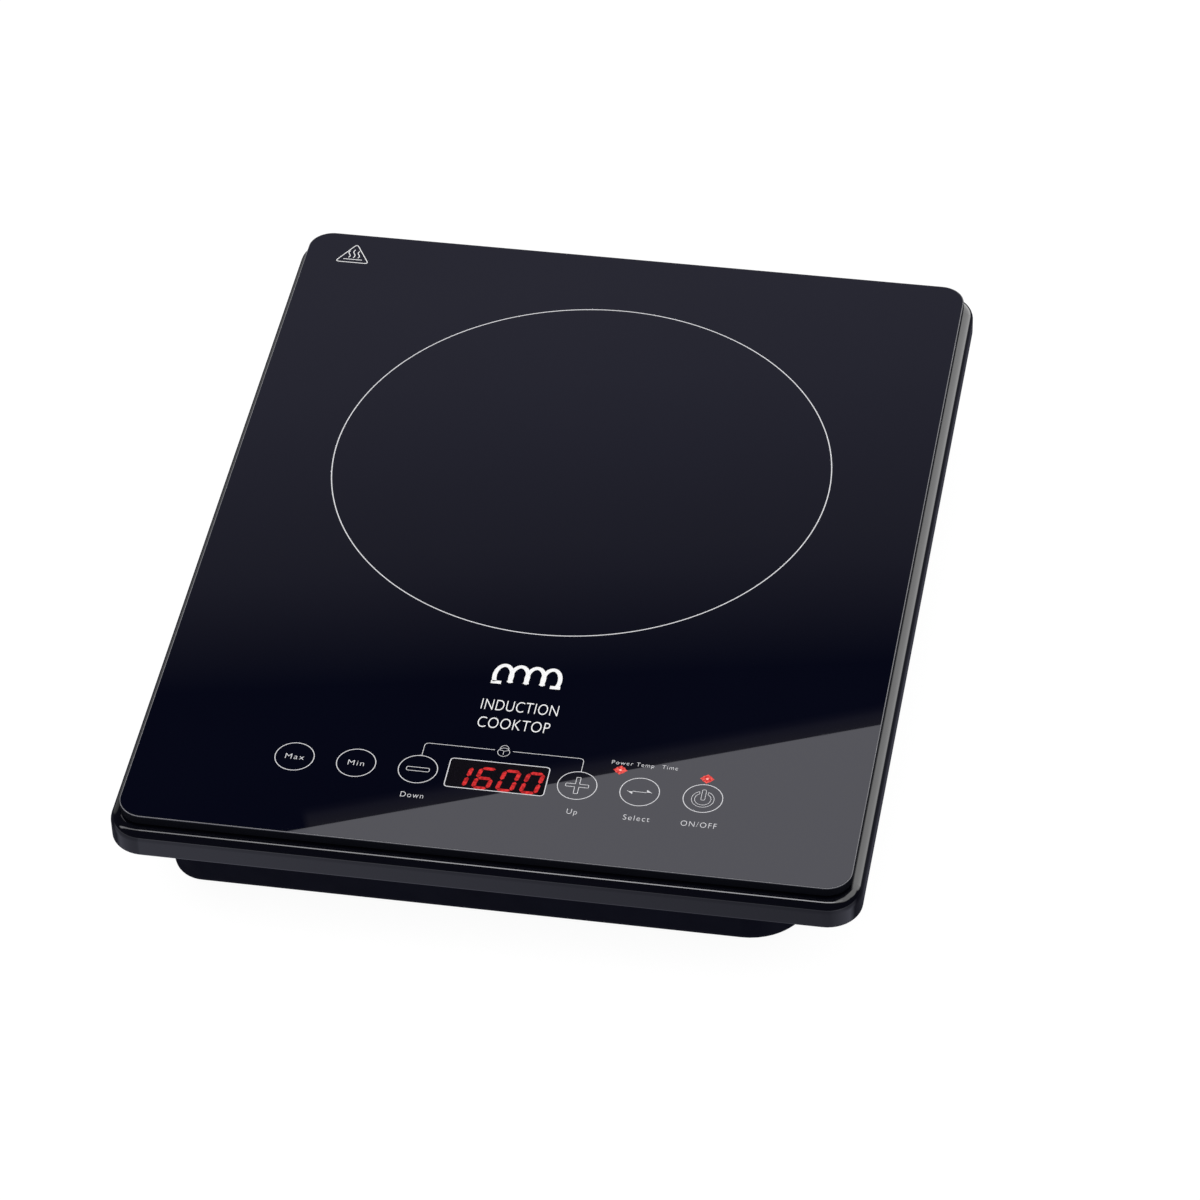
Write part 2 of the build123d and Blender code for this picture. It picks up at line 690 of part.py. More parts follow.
def make_fan_frame():
    """Square fan frame with four struts, a hub plate and a bearing tube."""
    frame = slab(FAN_SIZE, FAN_SIZE, 4.0, FAN_LOW, FAN_TOP) - hole(0, 0, FAN_BORE)
    strut = block((HUB_PLATE_R - 1, FAN_BORE + 1), (-STRUT_W / 2, STRUT_W / 2), (HUB_PLATE_LOW, FAN_TOP))
    for quarter in range(4):
        frame += Rot(0, 0, 90 * quarter + STRUT_TURN) * strut
    frame += rod(0, 0, HUB_PLATE_R, HUB_PLATE_LOW, FAN_TOP)
    frame += rod(0, 0, TUBE_R, TUBE_LOW, HUB_PLATE_LOW)
    frame -= rod(0, 0, BEARING_R, 0, HUB_PLATE_LOW)
    for dx, dy in FAN_HOLE_XY:
        frame -= hole(dx, dy, FAN_CLEAR)
    return at_fan(frame)


def make_fan_bearing():
    """Sleeve bearing in the fan frame's tube."""
    return at_fan(rod(0, 0, BEARING_R, *BEARING_Z) - hole(0, 0, BEARING_BORE))


def make_fan_stator():
    """Four-pole laminated stator with wound arms."""
    core = rod(0, 0, TUBE_R + 1.5, *WINDING_Z)
    arm = block((3, STATOR_R - 1), (-1.5, 1.5), STATOR_Z)
    winding = block((5.4, 8.6), (-2.9, 2.9), WINDING_Z)
    winding = fillet(winding.edges().filter_by(Axis.X), 0.8)
    shoes = rod(0, 0, STATOR_R, *STATOR_Z) - hole(0, 0, STATOR_R - 1.4)
    for quarter in range(4):
        core += Rot(0, 0, 90 * quarter) * arm
        core += Rot(0, 0, 90 * quarter) * winding
        shoes -= Rot(0, 0, 90 * quarter + 45) * block((5, 15), (-1.2, 1.2), (0, THROUGH))
    return at_fan(core + shoes - hole(0, 0, TUBE_R))


def fan_blade():
    """One cambered blade, cut to the space between hub and tip."""
    rise = 6.2
    run = 7.6
    back = ThreePointArc((-run, -rise), (1.0, 1.4), (run, rise))
    face = ThreePointArc((run, rise), (1.9, 0.3), (-run + 0.5, -rise - 0.2))
    close = Line((-run + 0.5, -rise - 0.2), (-run, -rise))
    section = make_face([back, face, close])
    solid = extrude(Plane.YZ.offset(HUB_R - 2.5) * section, BLADE_TIP_R - HUB_R + 4)
    ring = rod(0, 0, BLADE_TIP_R, -10, 10) - rod(0, 0, HUB_R - 0.8, -10, 10)
    return Pos(0, 0, BLADE_MID) * (solid & ring)


def make_fan_rotor():
    """Fan hub and blades."""
    hub = rod(0, 0, HUB_R, HUB_LOW, HUB_TOP)
    hub = fillet(hub.edges().sort_by(Axis.Z)[0], 1.2)
    blade = fan_blade()
    for step in range(BLADE_COUNT):
        hub += Rot(0, 0, step * 360 / BLADE_COUNT) * blade
    hub -= rod(0, 0, MAGNET_R, HUB_LOW + HUB_FACE, THROUGH)
    return at_fan(hub - hole(0, 0, SHAFT_R))


def make_rotor_magnet():
    """Ring magnet inside the fan hub."""
    return at_fan(rod(0, 0, MAGNET_R, *MAGNET_Z) - hole(0, 0, MAGNET_IN_R))


def make_fan_shaft():
    """Steel shaft fixed in the hub and running in the sleeve bearing."""
    return at_fan(rod(0, 0, SHAFT_R, HUB_LOW, SHAFT_TOP))


def make_fan_screws():
    """Long screws through the fan frame's corners."""
    screws = []
    for dx, dy in FAN_HOLE_XY:
        screws.append(screw(FAN_X + dx, FAN_Y + dy, FAN_TOP, FAN_SCREW_L, FAN_SHANK, FAN_HEAD_R, FAN_HEAD_H))
    return screws


def make_duct():
    """Open-ended cover that leads the fan's air to the heat sink."""
    duct = block(DUCT_X, DUCT_Y, (FLOOR_TOP, DUCT_TOP))
    duct = fillet(duct.edges().filter_by(Axis.Y).sort_by(Axis.Z)[-2:], DUCT_ROUND)
    inner_x = (DUCT_X[0] + DUCT_WALL, DUCT_X[1] - DUCT_WALL)
    inner = block(inner_x, (DUCT_Y[0] - OVER, DUCT_Y[1] + OVER), (0, DUCT_TOP - DUCT_WALL))
    duct -= fillet(inner.edges().filter_by(Axis.Y).sort_by(Axis.Z)[-2:], DUCT_ROUND - DUCT_WALL)
    for x, y in DUCT_TAB_XY:
        wall_x = DUCT_X[0] if x < DUCT_X[0] else DUCT_X[1]
        tab = rod(x, y, DUCT_TAB_R, *DUCT_TAB_Z)
        tab += block((min(x, wall_x), max(x, wall_x)), (y - DUCT_TAB_R, y + DUCT_TAB_R), DUCT_TAB_Z)
        duct += tab - hole(x, y, SMALL_CLEAR)
    return duct


# ---- Main board and what stands on it ----

def make_main_board():
    """Power circuit board."""
    board = block(MAIN_X, MAIN_Y, (MAIN_LOW, MAIN_TOP))
    board = fillet(board.edges().filter_by(Axis.Z), 2.0)
    for x, y in MAIN_SCREW_XY:
        board -= hole(x, y, SMALL_CLEAR)
    return board


def make_heat_sink():
    """Aluminium sink: an upright spine with fins that run front to back."""
    sink = block((SINK_X[1] - SINK_SPINE, SINK_X[1]), SINK_Y, SINK_Z)
    pitch = (SINK_Z[1] - SINK_Z[0] - FIN_T) / (SINK_FINS - 1)
    for fin in range(SINK_FINS):
        low = SINK_Z[0] + fin * pitch
        sink += block(SINK_X, SINK_Y, (low, low + FIN_T))
    for x in (SINK_X[0] + 6, SINK_X[1] - 4):
        for y in (SINK_Y[0] + 4, SINK_Y[1] - 4):
            sink += rod(x, y, 1.8, MAIN_TOP, SINK_Z[0])
    for y in (IGBT_Y, BRIDGE_Y):
        sink -= rod_along_x(SINK_X[1], y, DEVICE_SCREW_Z, BIG_PILOT, 2 * SINK_SPINE - 1)
    return sink


def power_device(y, width, leads):
    """Moulded power package that stands against the heat sink."""
    face = SINK_X[1] + PAD_T
    body = block((face, face + DEVICE_T), (y - width / 2, y + width / 2), DEVICE_Z)
    body = chamfer(body.edges().filter_by(Axis.Z), 0.6)
    body -= rod_along_x(face, y, DEVICE_SCREW_Z, BIG_CLEAR, 30)
    middle = face + DEVICE_T / 2
    pitch = width * 0.7 / (leads - 1)
    for lead in range(leads):
        lead_y = y + (lead - (leads - 1) / 2) * pitch
        body += block((middle - 0.4, middle + 0.4), (lead_y - 0.6, lead_y + 0.6), (MAIN_TOP, DEVICE_Z[0]))
    return body


def make_igbt():
    """Power transistor."""
    return power_device(IGBT_Y, IGBT_W, 3)


def make_bridge():
    """Bridge rectifier."""
    return power_device(BRIDGE_Y, BRIDGE_W, 4)


def make_device_pads():
    """Insulating pads between the power packages and the sink."""
    pads = []
    for y, width in ((IGBT_Y, IGBT_W + 2.4), (BRIDGE_Y, BRIDGE_W + 2.0)):
        pad = block((SINK_X[1], SINK_X[1] + PAD_T), (y - width / 2, y + width / 2), (20.8, SINK_Z[1]))
        pads.append(pad - rod_along_x(SINK_X[1], y, DEVICE_SCREW_Z, BIG_CLEAR, 9))
    return pads


def make_device_screws():
    """Screws that clamp the power packages to the sink."""
    seat = SINK_X[1] + PAD_T + DEVICE_T
    body = screw(0, 0, 0, 8.0, BIG_SHANK, BIG_HEAD_R, BIG_HEAD_H)
    return [Pos(seat, y, DEVICE_SCREW_Z) * Rot(0, 90, 0) * body for y in (IGBT_Y, BRIDGE_Y)]


def make_bus_capacitor():
    """Large film capacitor across the rectified mains."""
    return soft_box(*BUS_CAP, 1.0)


def make_resonant_capacitor():
    """Film capacitor that tunes the coil."""
    return soft_box(*RESONANT_CAP, 1.0)


def make_line_capacitor():
    """Small suppression capacitor on the mains side."""
    return soft_box(*LINE_CAP, 0.8)


def make_choke_core():
    """Toroid core of the filter choke."""
    ring = rod(*CHOKE_XY, CHOKE_R, *CHOKE_Z) - hole(*CHOKE_XY, CHOKE_BORE)
    return fillet(ring.edges(), 0.8)


def make_choke_winding():
    """Copper turns around the toroid, one closed loop per turn."""
    clear = CHOKE_WIRE + 0.2
    loop_w = CHOKE_R - CHOKE_BORE + 2 * clear
    loop_h = CHOKE_Z[1] - CHOKE_Z[0] + 2 * clear
    loop = Wire(RectangleRounded(loop_w, loop_h, 1.6).wire().edges())
    start = Plane(origin=loop @ 0, z_dir=loop % 0)
    turn = sweep(start * Circle(CHOKE_WIRE), path=loop)
    upright = Pos((CHOKE_R + CHOKE_BORE) / 2, 0, 0) * Rot(90, 0, 0) * turn
    middle = Pos(*CHOKE_XY, sum(CHOKE_Z) / 2)
    pitch = (360 - CHOKE_GAP) / (CHOKE_TURNS - 1)
    return [middle * Rot(0, 0, CHOKE_GAP / 2 + pitch * step) * upright for step in range(CHOKE_TURNS)]


def make_choke_base():
    """Plastic cradle that lifts the choke off the board."""
    base = rod(*CHOKE_XY, CRADLE_R, MAIN_TOP, CRADLE_TOP)
    base += rod(*CHOKE_XY, CRADLE_PIN_R, MAIN_TOP, CHOKE_Z[1] - 1)
    return base - rod(*CHOKE_XY, CRADLE_PIN_R - 1, CRADLE_TOP + 0.8, THROUGH)


def make_electrolytics():
    """Small upright electrolytic capacitors with a scored top."""
    cans = []
    for x, y in CAN_XY:
        can = fillet(rod(x, y, CAN_R, MAIN_TOP, CAN_TOP).edges().sort_by(Axis.Z)[-1], 0.6)
        can -= Pos(x, y, CAN_TOP) * Box(6.0, 0.5, 0.5)
        can -= Pos(x, y, CAN_TOP) * Box(0.5, 6.0, 0.5)
        cans.append(can)
    return cans


def make_transformer():
    """Small transformer of the low-voltage supply: core, winding and bobbin."""
    x, y = SUPPLY_XY
    core = block((x - 10, x + 10), (y - 9, y + 9), (20.0, 33.5))
    core -= block((x - 6, x + 6), (y - 10, y + 10), (23.5, 30.0))
    bobbin = block((x - 5.4, x + 5.4), (y - 12, y + 12), (MAIN_TOP, 20.0))
    bobbin = fillet(bobbin.edges().filter_by(Axis.Z), 1.0)
    winding = block((x - 6, x + 6), (y - 11, y + 11), (23.5, 30.0))
    return core + bobbin + fillet(winding.edges().filter_by(Axis.X), 2.0)


def make_varistor():
    """Blue disc varistor on two legs."""
    x, y, z = VARISTOR_XYZ
    disc = fillet(rod_along_y(x, y, z, VARISTOR_R, VARISTOR_T).edges(), 1.2)
    for side in (-1, 1):
        disc += rod(x + side * VARISTOR_PITCH / 2, y, 0.5, MAIN_TOP, z - 2.5)
    return disc


def make_fuse():
    """Cartridge fuse with end caps."""
    fuse = rod_along_y(FUSE_X, sum(FUSE_CAP_Y) / 2, FUSE_Z, FUSE_R, 20)
    for y in FUSE_CAP_Y:
        fuse += rod_along_y(FUSE_X, y, FUSE_Z, FUSE_CAP_R, 5)
    return fuse


def make_fuse_clips():
    """Spring clips that hold the fuse's caps."""
    clips = []
    for y in FUSE_CAP_Y:
        clip = block((FUSE_X - 3.4, FUSE_X + 3.4), (y - 2, y + 2), (MAIN_TOP, FUSE_Z + 3.5))
        clip -= block((FUSE_X - 2.8, FUSE_X + 2.8), (y - 3, y + 3), (MAIN_TOP + 0.8, FUSE_Z + 4))
        clip += block((FUSE_X - 0.6, FUSE_X + 0.6), (y - 2, y + 2), (MAIN_TOP + 0.8, FUSE_Z - 4))
        clips.append(clip - rod_along_y(FUSE_X, y, FUSE_Z, FUSE_CAP_R + 0.05, 9))
    return clips


def make_chips():
    """Microcontroller and gate driver, each with two rows of legs."""
    chips = []
    half_w, half_d = CHIP_HALF
    for x, y in CHIP_XY:
        chip = chamfer(block((x - half_w, x + half_w), (y - half_d, y + half_d), CHIP_Z).edges(), 0.3)
        for leg in range(CHIP_LEGS):
            leg_x = x + (leg - (CHIP_LEGS - 1) / 2) * LEG_PITCH
            for side in (-1, 1):
                foot_y = y + side * (half_d + 0.5)
                chip += block((leg_x - 0.4, leg_x + 0.4), (foot_y - 0.55, foot_y + 0.55), (MAIN_TOP, 20.2))
        chips.append(chip)
    return chips


def make_resistors():
    """Power resistors lying above the board on bent legs."""
    resistors = []
    for x in RESISTOR_X:
        body = fillet(rod_along_y(x, RESISTOR_Y, RESISTOR_Z, RESISTOR_R, RESISTOR_L).edges(), 0.7)
        for side in (-1, 1):
            leg_y = RESISTOR_Y + side * RESISTOR_REACH
            body += rod_along_y(x, (leg_y + RESISTOR_Y) / 2, RESISTOR_Z, LEG_R, RESISTOR_REACH)
            body += rod(x, leg_y, LEG_R, MAIN_TOP, RESISTOR_Z)
        resistors.append(body)
    return resistors


def make_buzzer():
    """Round buzzer with a sound hole."""
    can = fillet(rod(*BUZZER_XY, BUZZER_R, MAIN_TOP, BUZZER_TOP).edges().sort_by(Axis.Z)[-1], 0.6)
    return can - rod(*BUZZER_XY, 1.1, BUZZER_TOP - 2, THROUGH)


def make_current_transformer():
    """Current transformer on the mains side of the board."""
    x_span, y_span, _ = CURRENT_BOX
    through = rod_along_y(sum(x_span) / 2, sum(y_span) / 2, CURRENT_HOLE_Z, 3.0, 40)
    return soft_box(*CURRENT_BOX, 1.0) - through


def make_headers():
    """White wire-to-board plugs for the fan, the sensor and the touch panel."""
    headers = []
    for x, y in (FAN_HEADER_XY, SENSOR_HEADER_XY, RIBBON_XY):
        body = block((x - 5, x + 5), (y - 3, y + 3), (MAIN_TOP, HEADER_TOP))
        headers.append(body - block((x - 4, x + 4), (y - 2, y + 2), (HEADER_SEAT, HEADER_TOP + OVER)))
    return headers


def make_coil_terminals():
    """Brass posts for the coil's two leads."""
    posts = []
    for x, y in COIL_TERMINALS:
        posts.append(rod(x, y, 3.6, MAIN_TOP, TERMINAL_TOP) - rod(x, y, SMALL_PILOT, 19.0, THROUGH))
    return posts


def make_lead_lugs():
    """Ring lugs crimped onto the coil's leads."""
    lugs = []
    span = (TERMINAL_TOP, TERMINAL_TOP + LUG_T)
    for x, y in COIL_TERMINALS:
        lug = rod(x, y, 3.4, *span) + block((x - 1.6, x + 1.6), (y, y + 7), span)
        lug += rod_along_y(x, y + 8.5, CRIMP_Z, 2.0, 7)
        lug -= rod_along_y(x, y + 8.5, CRIMP_Z, WIRE_R, 9)
        lugs.append(lug - hole(x, y, SMALL_CLEAR))
    return lugs


def tab_span(x, y):
    """Plan limits of a mains tab."""
    half_w, half_t = TAB_HALF
    return (x - half_w, x + half_w), (y - half_t, y + half_t)


def make_mains_tabs():
    """Blade tabs where the mains wires plug onto the board."""
    return [block(*tab_span(x, y), (MAIN_TOP, TAB_TOP)) for x, y in MAINS_TABS]


# ---- Touch panel ----

def make_control_board():
    """Touch and display board."""
    board = slab(PANEL_W, PANEL_D, 2.0, PANEL_LOW, PANEL_TOP, 0, PANEL_Y)
    for x, y in PANEL_SCREW_XY:
        board -= hole(x, y, SMALL_CLEAR)
    return board


def make_display():
    """Four-digit display block."""
    x, y = DISPLAY_XY
    half_w = DISPLAY_W / 2
    half_d = DISPLAY_D / 2
    return soft_box((x - half_w, x + half_w), (y - half_d, y + half_d), (PANEL_TOP, DISPLAY_TOP), 0.5)


def make_key_springs():
    """Touch springs that carry each key's sense pad up to the glass."""
    return [coil_spring(x, KEY_Y, PANEL_TOP, GLASS_LOW, KEY_SPRING_R, KEY_WIRE, KEY_TURNS) for x in KEY_X]


def make_lamps():
    """Indicator lamps, dome up."""
    lamps = []
    for x, y in LAMP_XY:
        lamp = rod(x, y, LAMP_R, PANEL_TOP, LAMP_TOP) + rod(x, y, LAMP_R + 0.4, PANEL_TOP, PANEL_TOP + 1)
        top_edge = lamp.edges().filter_by(GeomType.CIRCLE).sort_by(Axis.Z)[-1]
        lamps.append(fillet(top_edge, LAMP_R * 0.9))
    return lamps


def make_touch_chip():
    """Touch controller on the panel's underside, with its legs."""
    x_span, y_span = TOUCH_CHIP
    chip = block(x_span, y_span, (PANEL_LOW - 2.0, PANEL_LOW - 0.3))
    for leg in range(TOUCH_LEGS):
        x = sum(x_span) / 2 + (leg - (TOUCH_LEGS - 1) / 2) * TOUCH_PITCH
        for y in (y_span[0] - 0.8, y_span[1] + 0.8):
            chip += block((x - 0.2, x + 0.2), (y - 0.9, y + 0.9), (PANEL_LOW - 0.8, PANEL_LOW))
    return chip


def make_ribbon():
    """Flat cable between the touch panel and the main board, with its upper plug."""
    x, y = RIBBON_XY
    plug_low = PANEL_LOW - 3
    cable = block((x - RIBBON_W / 2, x + RIBBON_W / 2), (y - RIBBON_T / 2, y + RIBBON_T / 2),
                  (HEADER_SEAT, plug_low))
    return cable + block((x - 4.5, x + 4.5), (y - 2.6, y + 2.6), (plug_low, PANEL_LOW))


def make_board_screws():
    """Identical short screws for the boards, the duct, the coil's lugs and the terminal block."""
    screws = [small_screw(x, y, MAIN_TOP) for x, y in MAIN_SCREW_XY]
    screws += [small_screw(x, y, DUCT_TAB_Z[1]) for x, y in DUCT_TAB_XY]
    screws += [small_screw(x, y, PANEL_LOW, up=False) for x, y in PANEL_SCREW_XY]
    for dx in (-TERMINAL_SCREW_DX, TERMINAL_SCREW_DX):
        screws.append(small_screw(TERMINAL_XY[0] + dx, TERMINAL_XY[1], TERMINAL_LOW + TERMINAL_EAR))
    screws += [small_screw(x, y, TERMINAL_TOP + LUG_T) for x, y in COIL_TERMINALS]
    return screws


# ---- Mains side and wires ----

def make_terminal_block():
    """Two-way terminal block with ears for its screws."""
    x, y = TERMINAL_XY
    half_w, half_d = TERMINAL_HALF
    z_span = (TERMINAL_LOW, TERMINAL_LOW + TERMINAL_H)
    body = block((x - half_w, x + half_w), (y - half_d, y + half_d), z_span)
    ears_w = 2 * TERMINAL_SCREW_DX + 8
    body += slab(ears_w, 8, 3.9, TERMINAL_LOW, TERMINAL_LOW + TERMINAL_EAR, x, y)
    for dx in (-CLAMP_DX, CLAMP_DX):
        body -= rod_along_y(x + dx, y, WIRE_ENTRY_Z, WIRE_ENTRY_R, 40)
        body -= rod(x + dx, y, CLAMP_R + 0.1, WIRE_ENTRY_Z, THROUGH)
    for dx in (-TERMINAL_SCREW_DX, TERMINAL_SCREW_DX):
        body -= hole(x + dx, y, SMALL_CLEAR)
    return body


def make_terminal_screws():
    """Slotted clamp screws inside the terminal block."""
    screws = []
    for dx in (-CLAMP_DX, CLAMP_DX):
        x, y = TERMINAL_XY[0] + dx, TERMINAL_XY[1]
        screws.append(rod(x, y, CLAMP_R, *CLAMP_Z) - Pos(x, y, CLAMP_Z[1]) * Box(5, 0.7, 1.4))
    return screws


def make_mains_wires():
    """Insulated wires from the terminal block to the main board, with plug sleeves."""
    wires = []
    half_w, half_d = SLEEVE_HALF
    for (tab_x, tab_y), side, lane_x in zip(MAINS_TABS, (-1, 1), (93.0, 99.0)):
        start_x = TERMINAL_XY[0] + side * CLAMP_DX
        points = [(start_x, 126, WIRE_ENTRY_Z), (start_x, 114, WIRE_ENTRY_Z), (lane_x, 96, 11),
                  (lane_x, -20, 11.5), (tab_x, -38, 28), (tab_x, tab_y + half_d, 29)]
        sleeve = block((tab_x - half_w, tab_x + half_w), (tab_y - half_d, tab_y + half_d), SLEEVE_Z)
        wire = wire_run(points, MAINS_WIRE_R) + sleeve
        wires.append(wire - block(*tab_span(tab_x, tab_y), (0, TAB_TOP)))
    return wires


def make_inner_lead():
    """Sleeved lead from the coil's inner end to its terminal."""
    x, y = COIL_TERMINALS[0]
    points = [(COIL_IN_R, COIL_Y, COIL_Z), (COIL_IN_R, COIL_Y - 3, COIL_Z), (COIL_IN_R - 1, COIL_Y - 11, 42),
              (10, 24, 32), (-15, -14, 31), (x, -38, CRIMP_Z), (x, y + 5, CRIMP_Z)]
    return wire_run(points, WIRE_R - 0.05)


def make_outer_lead():
    """Sleeved lead from the coil's outer end to its terminal."""
    end_x = COIL_IN_R + COIL_TURNS * WIRE_PITCH
    x, y = COIL_TERMINALS[1]
    points = [(end_x, COIL_Y, COIL_Z), (end_x, COIL_Y + 6, COIL_Z), (95, COIL_Y + 12, COIL_Z),
              (104, COIL_Y + 6, 38), (106, 20, 31), (90, -18, 30), (40, -38, 30), (x, -42, CRIMP_Z),
              (x, y + 5, CRIMP_Z)]
    return wire_run(points, WIRE_R - 0.05)


def make_coil_leads():
    """Both leads of the coil."""
    return [make_inner_lead(), make_outer_lead()]


def make_sensor_leads():
    """Thin pair of wires from the temperature sensor to its header."""
    head_x, head_y = SENSOR_HEADER_XY
    leads = []
    for side in (-1, 1):
        x = head_x + side * 2
        points = [(side * 1.2, COIL_Y, SENSOR_BEAD_LOW), (side * 1.2, COIL_Y, 34), (9 + side, 16, 24),
                  (x, -44, 22), (x, -51, 29.5), (x, head_y, 29.5), (x, head_y, 20.5)]
        leads.append(wire_run(points, SIGNAL_WIRE_R))
    return leads


def make_fan_leads():
    """Thin pair of wires from the fan to its header."""
    head_x, head_y = FAN_HEADER_XY
    leads = []
    for side in (-1, 1):
        x = head_x + side * 2
        start_y = 64 + side * 1.5
        points = [(-25.9, start_y, 20), (-21, start_y, 20), (-15, 50, 12 + side), (-13, 20, 11 + side),
                  (-13, -26, 14 + side), (x, -44, 28), (x, head_y, 29), (x, head_y, 20.5)]
        leads.append(wire_run(points, SIGNAL_WIRE_R))
    return leads


def make_signal_wires():
    """Wire pairs of the temperature sensor and the fan."""
    return make_sensor_leads() + make_fan_leads()


MAKERS = {
    "glass_plate": make_glass, "glass_seal": make_seal, "top_frame": make_frame,
    "bottom_case": make_case, "rubber_feet": make_feet, "case_screws": make_case_screws,
    "cord_gland": make_gland, "coil_former": make_former, "induction_coil": make_coil,
    "ferrite_bars": make_ferrites, "mica_sheet": make_mica, "coil_shield": make_shield,
    "coil_springs": make_coil_springs, "sensor_holder": make_sensor_holder,
    "temperature_sensor": make_sensor, "fan_frame": make_fan_frame,
    "fan_bearing": make_fan_bearing, "fan_stator": make_fan_stator, "fan_rotor": make_fan_rotor,
    "rotor_magnet": make_rotor_magnet, "fan_shaft": make_fan_shaft, "fan_screws": make_fan_screws,
    "air_duct": make_duct, "main_board": make_main_board, "heat_sink": make_heat_sink,
    "power_transistor": make_igbt, "bridge_rectifier": make_bridge,
    "device_pads": make_device_pads, "device_screws": make_device_screws,
    "bus_capacitor": make_bus_capacitor, "resonant_capacitor": make_resonant_capacitor,
    "line_capacitor": make_line_capacitor, "choke_core": make_choke_core,
    "choke_winding": make_choke_winding, "choke_base": make_choke_base,
    "electrolytic_capacitors": make_electrolytics, "supply_transformer": make_transformer,
    "varistor": make_varistor, "fuse": make_fuse, "fuse_clips": make_fuse_clips,
    "board_chips": make_chips, "power_resistors": make_resistors, "buzzer": make_buzzer,
    "current_transformer": make_current_transformer, "wire_headers": make_headers,
    "coil_terminals": make_coil_terminals, "lead_lugs": make_lead_lugs,
    "mains_tabs": make_mains_tabs, "control_board": make_control_board,
    "led_display": make_display, "key_springs": make_key_springs, "indicator_lamps": make_lamps,
    "touch_chip": make_touch_chip, "ribbon_cable": make_ribbon, "board_screws": make_board_screws,
    "terminal_block": make_terminal_block, "terminal_screws": make_terminal_screws,
    "mains_wires": make_mains_wires, "coil_leads": make_coil_leads,
    "signal_wires": make_signal_wires,
}

os.makedirs("parts", exist_ok=True)
for node, maker in MAKERS.items():
    shape = maker()
    if isinstance(shape, list):
        shape = Compound(children=[solid for item in shape for solid in item.solids()])
    export_step(shape, f"parts/{node}.step")
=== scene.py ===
import json
import math

import bmesh
import bpy
from mathutils import Matrix, Vector


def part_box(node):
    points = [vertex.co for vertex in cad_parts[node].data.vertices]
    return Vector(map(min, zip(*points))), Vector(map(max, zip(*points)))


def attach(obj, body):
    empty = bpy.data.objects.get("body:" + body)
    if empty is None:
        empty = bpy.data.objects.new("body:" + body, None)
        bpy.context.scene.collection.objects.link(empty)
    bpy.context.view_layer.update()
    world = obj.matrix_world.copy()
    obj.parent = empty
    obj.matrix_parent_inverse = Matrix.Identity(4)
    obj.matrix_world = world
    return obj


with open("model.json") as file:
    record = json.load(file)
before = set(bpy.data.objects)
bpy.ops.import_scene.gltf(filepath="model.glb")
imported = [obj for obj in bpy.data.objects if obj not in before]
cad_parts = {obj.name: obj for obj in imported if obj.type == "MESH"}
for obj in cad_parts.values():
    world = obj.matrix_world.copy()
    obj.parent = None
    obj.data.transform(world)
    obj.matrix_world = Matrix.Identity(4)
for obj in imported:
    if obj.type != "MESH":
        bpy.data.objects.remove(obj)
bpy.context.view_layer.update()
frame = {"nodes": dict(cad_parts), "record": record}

MM = 0.001
GLASS_LOW, GLASS_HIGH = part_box("glass_plate")
GLASS_TOP = GLASS_HIGH.z
BODY = "cooktop"

# ---- Ground side of the glass plate, in millimetres ----
EDGE_SKIN = 0.1
EDGE_LOW = GLASS_LOW.z / MM + 0.25
EDGE_HIGH = GLASS_TOP / MM - 0.45
EDGE_CORNER = 10.0
# The arris skin is a painted highlight: a paler line along the top edge of the glass.
PAINTED_HIGHLIGHT_INSET = 0.2
PAINTED_HIGHLIGHT_WIDTH = 0.28
PAINTED_HIGHLIGHT_LOW = GLASS_TOP / MM - 0.4
PAINTED_HIGHLIGHT_TOP = GLASS_TOP / MM - 0.02

# ---- Printing on the glass, in millimetres from the middle of the plate ----
PRINT_SINK = 0.02
PRINT_RISE = 0.03
FILM_RISE = 0.015
RING_CENTRE = (0.0, 43.4)
RING_RADIUS = 101.1
RING_LINE = 0.44
RING_STEPS = 256
KEY_ROW = -138.9
KEY_RADIUS = 7.5
KEY_LINE = 0.32
KEY_MAX, KEY_MIN, KEY_DOWN, KEY_UP, KEY_SELECT, KEY_POWER = -79.0, -55.0, -31.0, 30.5, 54.5, 78.7
ICON_LINE = 0.24
CAPTION_ROW = -153.0
CAPTION_CAP = 2.8
SMALL_CAP = 2.1
CAPTION_THIN = -0.012
CAPTION_SPACING = 1.2
WINDOW_CENTRE = (-0.4, -138.7)
WINDOW_SIZE = (38.4, 15.6)
WINDOW_CORNER = 1.6
WINDOW_LINE = 0.37
BRACKET_ROW = -124.2
BRACKET_FOOT = -131.2
BRACKET_CORNER = 1.6
BRACKET_LINE = 0.23
BRACKETS = ((KEY_DOWN, -3.9), (KEY_UP + 0.2, 3.1))
LOCK_CENTRE = (-0.4, -124.4)
LAMP_ROW = -128.2
LAMP_CORE = 0.5
LIT_LAMPS = (45.3, 78.7)
MARK_CENTRE = (1.0, -83.0)
MARK_WORD_CAP = 6.0
MARK_THIN = -0.014
MARK_SPACING = 1.05
WARNING_APEX = (-119.6, 173.0)
WARNING_HALF_BASE = 7.2
WARNING_HEIGHT = 12.3
WARNING_LINE = 0.36

# ---- Seven-segment digits, in millimetres ----
DISPLAY_NUMBER = "1600"
DIGIT_HEIGHT = 12.4
DIGIT_SHIFT = (0.0, -1.5)
DIGIT_WIDTH = 6.0
DIGIT_NARROW = 0.92
DIGIT_PITCH = 9.2
DIGIT_SLANT = 0.16
SEGMENT_WIDTH = 1.75
SEGMENT_GAP = 0.25
SEGMENTS = {"1": "bc", "6": "acdefg", "0": "abcdef"}

# ---- Camera ----
TARGET = Vector((0.02114, -0.03443, GLASS_TOP))
CAMERA_YAW = math.radians(-11.14)
CAMERA_PITCH = math.radians(42.08)
CAMERA_ROLL = math.radians(-1.92)
CAMERA_DISTANCE = 2.0843
CAMERA_LENS = 159.07
SENSOR = 36.0

